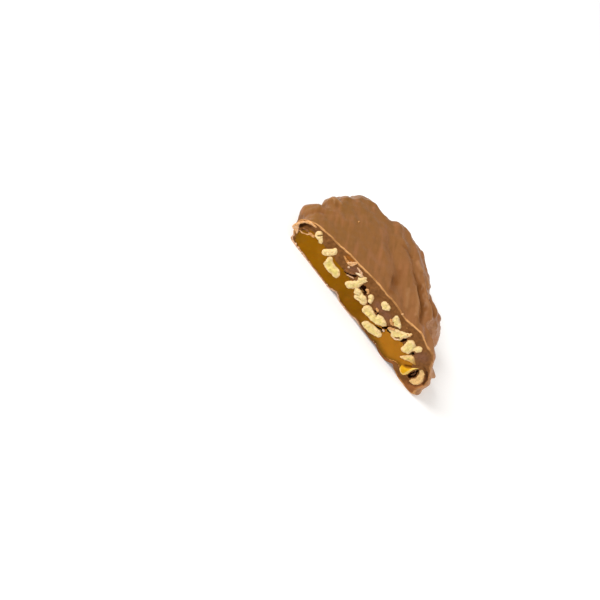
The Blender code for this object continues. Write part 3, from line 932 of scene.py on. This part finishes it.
def patty_form():
    """The uncut patty's surface with the soft unevenness of its coat."""
    rings = even_rings(SIDE_PROFILE, PLAN_RADIUS, TOP_HEIGHT, patty_step)
    form = ring_form(rings, PATTY_SEGMENTS, rim_radius, patty_foot, top_height, lumpy=True)
    reach, rise = rings[:, 0][:, None], rings[:, 1][:, None]
    lifted = smoothstep(*COAT_WAVE_RISE, rise)
    side = smoothstep(*SIDE_WAVE_REACH, reach) * lifted
    push = lifted * layered_waves(form, COAT_WAVES) + side * layered_waves(form, SIDE_WAVES)
    push = push - lifted * crease_depth(form[..., :2].reshape(-1, 2)).reshape(push.shape)
    return form + push[..., None] * grid_normals(form)


def cut_outline(form):
    """Outline of the form in the plane of the cut, as points x, z."""
    left, right = [], []
    for ring in form:
        after = np.roll(ring, -1, axis=0)
        crossing = np.nonzero(ring[:, 1] * after[:, 1] < 0)[0]
        if len(crossing) < 2:
            continue
        a, b = ring[crossing], after[crossing]
        share = (a[:, 1] / (a[:, 1] - b[:, 1]))[:, None]
        met = (a + share * (b - a))[:, (0, 2)]
        left.append(met[met[:, 0].argmin()])
        right.append(met[met[:, 0].argmax()])
    return np.array(left + right[::-1])


def knife_block(name, face, cell, kind):
    """A block behind the cut whose front is the finely meshed face of the cut."""
    xs = np.arange(BLOCK_LEFT, BLOCK_RIGHT + cell, cell)
    zs = np.arange(BLOCK_BOTTOM, BLOCK_TOP + cell, cell)
    x, z = (grid.ravel() for grid in np.meshgrid(xs, zs, indexing="ij"))
    front = np.stack([x, face(np.stack([x, z], axis=1)), z], axis=1)
    index = np.arange(len(x)).reshape(len(xs), len(zs))
    quads = np.stack([index[:-1, :-1], index[1:, :-1], index[1:, 1:], index[:-1, 1:]], axis=-1)
    edge = np.concatenate([index[:, 0], index[-1, 1:], index[-2::-1, -1], index[0, -2:0:-1]])
    back = front[edge].copy()
    back[:, 1] = BLOCK_BACK
    behind = len(front) + np.arange(len(edge))
    sides = np.stack([np.roll(edge, -1), edge, behind, np.roll(behind, -1)], axis=-1)
    mesh = bpy.data.meshes.new(name)
    faces = quads.reshape(-1, 4).tolist() + sides.tolist() + [behind[::-1].tolist()]
    mesh.from_pydata(np.concatenate([front, back]).tolist(), [], faces)
    return work_object(name, mesh, kind)


def relief(flat, layers):
    """Unevenness of a face in the cut."""
    return layered_waves(np.stack([flat[:, 0], np.zeros(len(flat)), flat[:, 1]], axis=1), layers)


def add_prism(mesh, outline, front, back):
    """Add a straight-sided body with that outline in the cut to the mesh."""
    near = [mesh.verts.new((x, front, z)) for x, z in outline]
    far = [mesh.verts.new((x, back, z)) for x, z in outline]
    mesh.faces.new(near)
    mesh.faces.new(far[::-1])
    for k in range(len(outline)):
        mesh.faces.new((near[k - 1], far[k - 1], far[k], near[k]))


def plate(name, layers, voxel, smoothing=0, kind=OUTER_SLOT):
    """One closed body with soft edges, run together from layers of outline, front and back."""
    prisms = bmesh.new()
    for outline, front, back in layers:
        add_prism(prisms, outline, front, back)
    bmesh.ops.recalc_face_normals(prisms, faces=prisms.faces)
    mesh = bpy.data.meshes.new(name)
    prisms.to_mesh(mesh)
    prisms.free()
    piece = work_object(name, mesh, kind)
    remesh = piece.modifiers.new("remesh", "REMESH")
    remesh.mode = "VOXEL"
    remesh.voxel_size = voxel
    if smoothing:
        smooth = piece.modifiers.new("smooth", "SMOOTH")
        smooth.factor = 0.5
        smooth.iterations = smoothing
    shaped = evaluated_mesh(piece)
    bpy.data.objects.remove(piece)
    return work_object(name, shaped, kind)


def crown(points, outline, height, width):
    """Round the front of a plate back towards its outline."""
    inside = distance_to_line(points[:, (0, 2)], outline, closed=True)
    in_front = smoothstep(*CROWN_FRONT, points[:, 1])
    points[:, 1] += in_front * height * (1.0 - smoothstep(0.0, width, inside))


def pecan(name):
    """One pecan piece with a softly rounded face, narrower behind."""
    outline = closed_curve(PECANS[name])
    proud = PECAN_PROUD.get(name, PECAN_PROUD_ELSE)
    layers = [(outline, -proud, PECAN_DEPTH), (inset(outline, PECAN_BACK_INSET), 0.0, PECAN_BACK_DEPTH)]
    piece = plate(name, layers, PECAN_VOXEL, PECAN_SMOOTHING)
    points = vertex_array(piece.data)
    crown(points, outline, PECAN_CROWN, PECAN_CROWN_WIDTH)
    points += layered_waves(points, PECAN_WAVES)[:, None] * vertex_array(piece.data, "normal")
    flat = points[:, (0, 2)]
    in_front = smoothstep(*PECAN_FRONT, points[:, 1] + proud)
    depth = stroke_depth(flat, GROOVES.get(name, ()))
    points[:, 1] += in_front * (relief(flat, PECAN_FACE_WAVES) + depth)
    set_vertices(piece.data, points)
    facing = smoothstep(*PECAN_FACING, -vertex_array(piece.data, "normal")[:, 1])
    middle = smoothstep(*PECAN_MIDDLE, distance_to_line(flat, outline, closed=True))
    set_attributes(
        piece.data,
        flesh=np.maximum(facing, smoothstep(*GROOVE_FLESH, depth)) * in_front,
        # painted shade in the slits and folds
        groove=smoothstep(*GROOVE_SHADE, depth),
        yellowness=middle * PECAN_YELLOWNESS.get(name, PECAN_YELLOWNESS_ELSE),
        peach=np.maximum(PECAN_PEACH_SHARE.get(name, 0.0), PECAN_PEACH_EDGE * (1.0 - middle)),
        golden=smoothstep(*GOLDEN_END, flat[:, 0]) * (name == GOLDEN_PECAN),
    )
    return piece


def pockets(kind):
    """Bodies a little smaller than the pecans, which make room for them."""
    made = []
    for shape in PECANS.values():
        outline = inset(closed_curve(shape), POCKET_INSET)
        layer = (outline, CUTTER_FRONT, PECAN_DEPTH - POCKET_INSET)
        made.append(plate("pocket", [layer], POCKET_VOXEL, kind=kind))
    return made


def hollows():
    """Rough hollows that open at the cut."""
    made = []
    for number, shape in enumerate(HOLLOWS):
        layer = (outline_of(shape), CUTTER_FRONT, HOLLOW_DEPTH)
        piece = plate("hollow", [layer], HOLLOW_VOXEL, HOLLOW_SMOOTHING, HOLLOW_SLOT)
        points = vertex_array(piece.data)
        rough = HOLLOW_ROUGHNESS * waves(points, HOLLOW_WAVE, HOLLOW_SEED + number)
        set_vertices(piece.data, points + rough[:, None] * vertex_array(piece.data, "normal"))
        made.append(piece)
    return made


def slab_form(grow=0.0):
    """The caramel slab's surface."""
    def step(ring):
        return np.full(len(ring), CARAMEL_STEP)

    rings = even_rings(CARAMEL_PROFILE, PLAN_RADIUS, CARAMEL_TOP, step)
    return ring_form(rings, CARAMEL_SEGMENTS, caramel_radius, caramel_foot, caramel_top, grow=grow)


def chocolate():
    """The chocolate: the patty cut through, with room for all that it holds."""
    form = patty_form()
    outline = cut_outline(form)

    def face(flat):
        inside = distance_to_line(flat, outline, closed=True)
        bead = BEAD_HEIGHT * bell(inside - BEAD_PLACE, BEAD_WIDTH)
        uneven = relief(flat, CUT_WAVES) * smoothstep(*CUT_WAVE_INSET, inside)
        return uneven + stroke_depth(flat, CUT_GROOVES) - bead

    piece = work_object("chocolate_patty", grid_mesh(form), OUTER_SLOT)
    boolean(piece, "INTERSECT", [knife_block("knife", face, CUT_CELL, CUT_SLOT)])
    room = work_object("room", grid_mesh(slab_form(grow=-CARAMEL_OVERLAP)), HOLLOW_SLOT)
    boolean(piece, "DIFFERENCE", [room] + pockets(HOLLOW_SLOT) + hollows())
    mark_chocolate(piece.data, outline)
    return piece


def mark_chocolate(mesh, outline):
    """Store where the pale line along the edge, partly a painted highlight, the folds and creases with their
    painted shade, the ridges with their painted highlight, the stains and the tip lie.
    """
    points = vertex_array(mesh)
    flat = points[:, (0, 2)]
    x, z = flat.T
    inside = distance_to_line(flat, outline, closed=True)
    length, height, seed = RIM_LINE_WAVES
    width = np.where(z > FOOT_HEIGHT, RIM_LINE_TOP, RIM_LINE_BELOW) + height * waves(points, length, seed)
    line = smoothstep(*LINE_SOFTNESS, inside / width) * (points[:, 1] < RIM_LINE_OUTSIDE)
    outside = smoothstep(RIM_LINE_OUTSIDE, 0.0, points[:, 1]) * smoothstep(*RIM_LINE_AROUND, inside)
    rim = np.maximum(line, outside)
    low = z < FOOT_HEIGHT
    top_share = 1.0 - RIM_LINE_FADE * smoothstep(*RIM_LINE_FADE_X, x)
    tip = smoothstep(*TIP_START, x - TIP_SLANT * z)
    pressed = crease_depth(points[:, :2])
    set_attributes(
        mesh,
        # pale line along the edge and at the foot: the torn edge, partly a painted highlight
        rim=rim * np.where(low, smoothstep(*FOOT_LINE_TIP_X, x), top_share),
        foot_line=rim * low * (1.0 - smoothstep(*FOOT_LINE_FADE_X, x)),
        # painted shade in the folds of the cut
        fold=smoothstep(*CUT_FOLD_SHADE, stroke_depth(flat, CUT_GROOVES)),
        tip=np.maximum(tip, stroke_depth(flat, FOOT_STAINS)),
        amber=stroke_depth(flat, AMBER_STAINS),
        mauve=stroke_depth(flat, MAUVE_STAINS),
        # painted shade in the coat's creases and painted highlight on its ridges
        hollow=smoothstep(*CREASE_SHADE, pressed),
        ridge=smoothstep(*RIDGE_SHADE, -pressed),
    )


def caramel_lip():
    """Lip of caramel that is folded over the end of the slab."""
    outline = closed_curve(LIP)
    piece = plate("lip", [(outline, -LIP_PROUD, LIP_DEPTH)], PECAN_VOXEL, PECAN_SMOOTHING)
    points = vertex_array(piece.data)
    crown(points, outline, LIP_CROWN, PECAN_CROWN_WIDTH)
    set_vertices(piece.data, points)
    return piece


def caramel():
    """The caramel slab with its smooth cut face and its folded lip."""
    def face(flat):
        return relief(flat, CARAMEL_FACE_WAVES) + stroke_depth(flat, CARAMEL_GROOVES)

    piece = work_object("caramel_slab", grid_mesh(slab_form()), OUTER_SLOT)
    boolean(piece, "INTERSECT", [knife_block("caramel_knife", face, CARAMEL_CELL, OUTER_SLOT)])
    boolean(piece, "UNION", [caramel_lip()])
    boolean(piece, "DIFFERENCE", pockets(OUTER_SLOT) + hollows())
    mark_caramel(piece.data)
    return piece


def mark_caramel(mesh):
    """Store where the lip, its pale edge, the folds beside it with their painted shade and the darker borders
    lie, the one at the thin end being painted shade.
    """
    points = vertex_array(mesh)
    flat = points[:, (0, 2)]
    raised = smoothstep(*LIP_FRONT, points[:, 1])
    lip = smoothstep(*LIP_BORDER, distance_to_line(flat, closed_curve(LIP), closed=True))
    core = smoothstep(*LIP_CORE_WIDTH, distance_to_segment(flat, *LIP_CORE))
    edge = smoothstep(*LINE_SOFTNESS, distance_to_line(flat, np.array(LIP_EDGE)) / LIP_EDGE_WIDTH)
    fold = smoothstep(*CARAMEL_FOLD_SHADE, stroke_depth(flat, CARAMEL_GROOVES))
    above = points[:, 2] - caramel_foot(points[:, 0], points[:, 1])
    border = smoothstep(*CARAMEL_BORDER, above) * smoothstep(*CARAMEL_BORDER_START, points[:, 0])
    # the thin end is darkened with painted shade
    thin = smoothstep(*CARAMEL_THIN_END, points[:, 0])
    set_attributes(
        mesh,
        lip=np.maximum(lip, core) * raised,
        lip_edge=edge * raised,
        # painted shade in the folds beside the lip
        fold=fold * (1 - raised),
        border=np.maximum(border, thin) * (1 - raised),
    )


def crumb(x, y, z, width, tint, number):
    """A small rough scrap."""
    ball = bmesh.new()
    bmesh.ops.create_icosphere(ball, subdivisions=2, radius=width / 2)
    mesh = bpy.data.meshes.new("crumb")
    ball.to_mesh(mesh)
    ball.free()
    points = vertex_array(mesh)
    rough = 1.0 + CRUMB_ROUGHNESS * waves(points / width, CRUMB_WAVE, CRUMB_SEED + number)
    set_vertices(mesh, points * rough[:, None] + (x, y, z))
    set_attributes(mesh, tint=np.full(len(points), tint))
    return work_object("crumb", mesh)


def fine_crumbs():
    """Crumbs scattered along the lower edge of the cut."""
    random = np.random.default_rng(CRUMB_SEED)
    made = []
    for number in range(FINE_CRUMB_COUNT):
        x = random.uniform(*FINE_CRUMB_X)
        width = random.uniform(*FINE_CRUMB_WIDTHS)
        z = patty_foot(x, 0.0) + FINE_CRUMB_LIFT * width + random.uniform(*FINE_CRUMB_RISE)
        y = random.uniform(*FINE_CRUMB_Y)
        made.append(crumb(x, y, z, width, random.uniform(*FINE_CRUMB_TINTS), number))
    return made


def flakes():
    """Chips of the coat, scraps and crumbs that stand on the cut, and a painted highlight in the pocket at
    the tip.
    """
    made = []
    for tint, proud, shape in FLAKES:
        back = FLAKE_BACK - min(proud, 0.0) * 2
        chip = plate("chip", [(outline_of(shape), -proud, back)], FLAKE_VOXEL, FLAKE_SMOOTHING)
        points = vertex_array(chip.data)
        rough = layered_waves(points, FLAKE_WAVES)
        set_vertices(chip.data, points + rough[:, None] * vertex_array(chip.data, "normal"))
        set_attributes(chip.data, tint=np.full(len(points), tint))
        made.append(chip)
    made += [crumb(*place, number) for number, place in enumerate(CRUMBS)]
    return joined("chocolate_flakes", made + fine_crumbs())


def joined(name, pieces):
    """One object of several, without running them together."""
    mesh = bmesh.new()
    for piece in pieces:
        mesh.from_mesh(piece.data)
        bpy.data.objects.remove(piece)
    data = bpy.data.meshes.new(name)
    mesh.to_mesh(data)
    mesh.free()
    return work_object(name, data)


def node(tree, kind, **inputs):
    """Add a node and set the inputs that are named, with underscores for spaces."""
    made = tree.nodes.new(kind)
    for name, value in inputs.items():
        set_input(tree, made.inputs[name.replace("_", " ")], value)
    return made


def set_input(tree, socket, value):
    """Link a socket to the input, or set it to a value."""
    if isinstance(value, bpy.types.NodeSocket):
        tree.links.new(value, socket)
    else:
        socket.default_value = value


def mixed(tree, share, first, second):
    """Colour between two colours."""
    mix = tree.nodes.new("ShaderNodeMix")
    mix.data_type = "RGBA"
    for socket, value in ((mix.inputs[0], share), (mix.inputs[6], first), (mix.inputs[7], second)):
        set_input(tree, socket, value)
    return mix.outputs[2]


def arithmetic(tree, operation, first, second):
    """Two numbers put together, kept from zero to one."""
    made = tree.nodes.new("ShaderNodeMath")
    made.operation = operation
    made.use_clamp = True
    set_input(tree, made.inputs[0], first)
    set_input(tree, made.inputs[1], second)
    return made.outputs[0]


def attribute(tree, name):
    """Number stored at each vertex."""
    made = tree.nodes.new("ShaderNodeAttribute")
    made.attribute_name = name
    return made.outputs["Fac"]


def noise(tree, length, detail, roughness, streaks=False):
    """Noise whose patches are about that many millimetres wide, from zero to one."""
    place = tree.nodes.new("ShaderNodeTexCoord").outputs["Object"]
    if streaks:
        turn, stretch = (0.0, 0.0, STREAK_TURN), (1.0, STREAK_STRETCH, 1.0)
        turned = node(tree, "ShaderNodeMapping", Vector=place, Rotation=turn, Scale=stretch)
        turned.vector_type = "TEXTURE"
        place = turned.outputs["Vector"]
    scale = 1.0 / (length * MM)
    made = node(tree, "ShaderNodeTexNoise", Vector=place, Scale=scale, Detail=detail, Roughness=roughness)
    return made.outputs["Fac"]


def place_along(tree):
    """Place along the cut, in metres."""
    place = tree.nodes.new("ShaderNodeTexCoord").outputs["Object"]
    return node(tree, "ShaderNodeSeparateXYZ", Vector=place).outputs["X"]


def ranged(tree, value, low, high, to_low=0.0, to_high=1.0):
    """Value stretched from one range to another."""
    spans = {"From_Min": low, "From_Max": high, "To_Min": to_low, "To_Max": to_high}
    return node(tree, "ShaderNodeMapRange", Value=value, **spans).outputs["Result"]


def patches(tree, length, detail, low, high, to_low=0.0, to_high=1.0, roughness=0.5, streaks=False):
    """Noise of that width and detail, stretched from one range to another."""
    return ranged(tree, noise(tree, length, detail, roughness, streaks), low, high, to_low, to_high)


def overlaid(tree, colour, layers):
    """The colour under others, each laid on as far as the attribute of its name says."""
    for name, other in layers.items():
        colour = mixed(tree, attribute(tree, name), colour, other)
    return colour


def new_material(name, roughness, specular):
    """A material with its node tree and its shader."""
    material = bpy.data.materials.new(name)
    material.use_nodes = True
    shader = material.node_tree.nodes["Principled BSDF"]
    shader.inputs["Roughness"].default_value = roughness
    shader.inputs["Specular IOR Level"].default_value = specular
    return material, material.node_tree, shader


def finish(tree, shader, colour, bumps):
    """Give the shader its colour and its bumps."""
    tree.links.new(colour, shader.inputs["Base Color"])
    bump = {}
    for length, detail, roughness, depth in bumps:
        height = noise(tree, length, detail, roughness)
        made = node(tree, "ShaderNodeBump", Height=height, Strength=1.0, Distance=depth * MM, **bump)
        bump = {"Normal": made.outputs["Normal"]}
    tree.links.new(bump["Normal"], shader.inputs["Normal"])


def set_subsurface(shader, weight, radius, scale):
    """Let light into the surface a little."""
    shader.inputs["Subsurface Weight"].default_value = weight
    shader.inputs["Subsurface Radius"].default_value = radius
    shader.inputs["Subsurface Scale"].default_value = scale * MM


def rim_colour(tree):
    """Colour of the thin line where the coat meets the cut, paler in places: the paler torn edge with a
    painted highlight on it.
    """
    return mixed(tree, patches(tree, *RIM_PATCHES), RIM_COLOUR_DARK, RIM_COLOUR)


def coat_material():
    """Satin milk chocolate, a little mottled, with faint streaks slantwise to the cut, painted shade in its
    creases, painted highlights on its ridges and on the pale edge line, and a painted sheen towards the +X
    end.
    """
    material, tree, shader = new_material("milk_chocolate", roughness=0.40, specular=0.20)
    colour = mixed(tree, ranged(tree, place_along(tree), *COAT_THICK_X), COAT_THIN_END, COAT_THICK_END)
    # painted sheen towards the +X end
    colour = mixed(tree, ranged(tree, place_along(tree), *COAT_PALE_X), colour, COAT_PALE_END)
    for streaks, streak_colour in ((RED_STREAKS, COAT_RED), (OLIVE_STREAKS, COAT_OLIVE)):
        share = patches(tree, *streaks, to_high=STREAK_SHARE, streaks=True)
        colour = mixed(tree, share, colour, streak_colour)
    colour = overlaid(tree, colour, {
        # painted shade in the creases and painted highlight on the ridges
        "hollow": COAT_HOLLOW,
        "ridge": COAT_RIDGE,
        # pale edge line and foot line, partly a painted highlight
        "rim": rim_colour(tree),
        "foot_line": FOOT_LINE_COLOUR,
    })
    shader.inputs["Specular Tint"].default_value = COAT_SHEEN
    tree.links.new(patches(tree, *COAT_SHINE_PATCHES), shader.inputs["Roughness"])
    finish(tree, shader, colour, COAT_BUMPS)
    return material


def cut_material():
    """Cut chocolate: matte, darker and grainy, pale where the edge was torn, with a painted highlight on that
    edge line and painted shade in its folds.
    """
    material, tree, shader = new_material("cut_chocolate", roughness=0.62, specular=0.10)
    colour = mixed(tree, patches(tree, *CUT_PATCHES, roughness=COARSE), CUT_COLOUR, CUT_COLOUR_PALE)
    colour = overlaid(tree, colour, {
        "tip": TIP_COLOUR,
        "amber": AMBER_STAIN,
        "mauve": MAUVE_STAIN,
        # painted shade in the folds
        "fold": CUT_COLOUR_DARK,
        # pale edge line and foot line, partly a painted highlight
        "rim": rim_colour(tree),
        "foot_line": FOOT_LINE_COLOUR,
    })
    finish(tree, shader, colour, CUT_BUMPS)
    return material


def hollow_material():
    """Painted shade: near-black chocolate for the walls of the hollows of the cut, where shade falls."""
    material, tree, shader = new_material("hollow_chocolate", roughness=0.55, specular=0.03)
    # painted shade for the hollows
    colour = mixed(tree, patches(tree, *HOLLOW_PATCHES), HOLLOW_COLOUR, HOLLOW_COLOUR_PALE)
    finish(tree, shader, colour, HOLLOW_BUMPS)
    return material


def flake_material():
    """Torn flakes of the coat: brown, orange, tan or pinkish white, and a painted highlight in the pocket at
    the tip.
    """
    material, tree, shader = new_material("chocolate_flake", roughness=0.55, specular=0.15)
    tint = arithmetic(tree, "ADD", attribute(tree, "tint"), patches(tree, *FLAKE_CLOUDS))
    ramp = node(tree, "ShaderNodeValToRGB", Fac=tint)
    stops = ramp.color_ramp.elements
    while len(stops) < len(FLAKE_COLOURS):
        stops.new(1.0)
    for stop, (place, colour) in zip(stops, FLAKE_COLOURS):
        stop.position = place
        stop.color = colour
    finish(tree, shader, ramp.outputs["Color"], FLAKE_BUMPS)
    return material


def caramel_material():
    """Glossy caramel, amber at the thin end and golden at the thick one, with painted shade in its folds and
    at its thin end.
    """
    material, tree, shader = new_material("caramel", roughness=0.30, specular=0.025)
    clouds = patches(tree, *CARAMEL_CLOUDS)
    colour = CARAMEL_AMBER
    for stretch, next_colour in ((CARAMEL_OLIVE_X, CARAMEL_OLIVE), (CARAMEL_GOLD_X, CARAMEL_GOLD)):
        share = arithmetic(tree, "ADD", ranged(tree, place_along(tree), *stretch), clouds)
        colour = mixed(tree, share, colour, next_colour)
    colour = overlaid(tree, colour, {
        # darker border low in the cut, and painted shade at the thin end
        "border": CARAMEL_BORDER_COLOUR,
        "fold": CARAMEL_DARK,
        "lip": LIP_COLOUR,
        # painted shade in the folds
        "lip_edge": LIP_EDGE_COLOUR,
    })
    set_subsurface(shader, weight=0.25, radius=(1.0, 0.35, 0.05), scale=1.5)
    finish(tree, shader, colour, CARAMEL_BUMPS)
    return material


def pecan_material():
    """Cream pecan flesh with yellower patches, brown skin where it wasn't cut, and painted shade in its slits
    and folds, which also gives pecan_10 a browner side.
    """
    material, tree, shader = new_material("pecan_flesh", roughness=0.55, specular=0.20)
    yellow = arithmetic(tree, "MULTIPLY", patches(tree, *PECAN_PATCHES), attribute(tree, "yellowness"))
    flecks = patches(tree, *PECAN_FLECKS, roughness=COARSE)
    colour = mixed(tree, patches(tree, *PECAN_SPECKLES), PECAN_CREAM, PECAN_PALE)
    colour = overlaid(tree, colour, {"peach": PECAN_PEACH})
    colour = mixed(tree, yellow, colour, PECAN_YELLOW)
    colour = overlaid(tree, colour, {"golden": PECAN_GOLD})
    colour = mixed(tree, flecks, colour, PECAN_FLECK)
    colour = mixed(tree, attribute(tree, "flesh"), PECAN_SKIN, colour)
    # painted shade in the slits and folds
    colour = overlaid(tree, colour, {"groove": PECAN_SHADE})
    set_subsurface(shader, weight=0.12, radius=(1.0, 0.6, 0.3), scale=0.6)
    finish(tree, shader, colour, PECAN_BUMPS)
    return material


def frame_shift():
    """Where the construction's origin lies in the frame, in metres."""
    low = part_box("chocolate")[0]
    return Vector((low.x - CHOCOLATE_LEFT_END * MM, low.y, 0.0))


def put_in_place(piece, name, materials, nodes):
    """Scale a finished piece to metres, move it into the frame, give it its name and materials, hang it from
    the root body and hide the solids it replaces.
    """
    piece.data.transform(Matrix.Translation(frame_shift()) @ Matrix.Scale(MM, 4))
    piece.data.shade_smooth()
    for index, material in enumerate(materials):
        piece.data.materials[index] = material
    while len(piece.data.materials) > len(materials):
        piece.data.materials.pop()
    piece.name = name
    piece.data.name = name
    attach(piece, "root")
    if nodes:
        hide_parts(*nodes)


def make_floor():
    """Pale surface that the half lies on."""
    bpy.ops.mesh.primitive_plane_add(size=FLOOR_SIZE, location=(0, 0, 0))
    floor = bpy.context.object
    floor.name = "floor"
    material, tree, shader = new_material("pale_floor", roughness=0.7, specular=0.5)
    shader.inputs["Base Color"].default_value = FLOOR_COLOUR
    shader.inputs["Emission Color"].default_value = WHITE
    shader.inputs["Emission Strength"].default_value = FLOOR_GLOW
    floor.data.materials.append(material)


def area_light(name, direction, size, power, tint=WHITE[:3]):
    """A square light that faces the half from that direction."""
    light = bpy.data.lights.new(name, "AREA")
    light.size = size
    light.energy = power
    light.color = tint
    lamp = bpy.data.objects.new(name, light)
    way = Vector(direction).normalized()
    lamp.location = way * LIGHT_DISTANCE
    lamp.rotation_euler = way.to_track_quat("Z", "Y").to_euler()
    bpy.context.scene.collection.objects.link(lamp)


def make_light():
    """Soft white light all round, a large light from the thin end and a warm one from behind."""
    world = bpy.data.worlds.new("studio")
    world.use_nodes = True
    background = world.node_tree.nodes["Background"]
    background.inputs["Color"].default_value = WHITE
    background.inputs["Strength"].default_value = WORLD_STRENGTH
    bpy.context.scene.world = world
    bpy.context.scene.view_settings.view_transform = "Standard"
    area_light("key_light", KEY_DIRECTION, KEY_SIZE, KEY_POWER)
    area_light("rim_light", RIM_DIRECTION, RIM_SIZE, RIM_POWER, RIM_TINT)


def make_camera():
    """Camera at the photograph's angle, rolled because the half leans there."""
    a, e, roll = CAMERA_AZIMUTH, CAMERA_ELEVATION, CAMERA_ROLL
    back = Vector((sin(a) * cos(e), -cos(a) * cos(e), sin(e)))
    right = Vector((cos(a), sin(a), 0.0))
    up = back.cross(right)
    across = cos(roll) * right + sin(roll) * up
    upward = -sin(roll) * right + cos(roll) * up
    place = (Vector(CAMERA_AIM) + back * CAMERA_DISTANCE) * MM + frame_shift()
    camera = bpy.data.cameras.new("camera")
    camera.lens = SENSOR_WIDTH * FOCAL_PIXELS / PHOTO_WIDTH
    camera.sensor_width = SENSOR_WIDTH
    camera.clip_start = 0.01
    holder = bpy.data.objects.new("camera", camera)
    bpy.context.scene.collection.objects.link(holder)
    holder.matrix_world = Matrix.Translation(place) @ Matrix((across, upward, back)).transposed().to_4x4()
    bpy.context.scene.camera = holder


def main():
    make_camera()
    make_light()
    make_floor()
    # The walls of the hollows, in the chocolate and in the caramel, get painted shade
    hollow = hollow_material()
    coat = [coat_material(), cut_material(), hollow]
    put_in_place(chocolate(), "chocolate_patty", coat, ["chocolate"])
    sweet = caramel_material()
    put_in_place(caramel(), "caramel_slab", [sweet, sweet, hollow], ["caramel"])
    flesh = pecan_material()
    for name in PECANS:
        put_in_place(pecan(name), name + "_piece", [flesh], [name])
    put_in_place(flakes(), "chocolate_flakes", [flake_material()], [])


main()
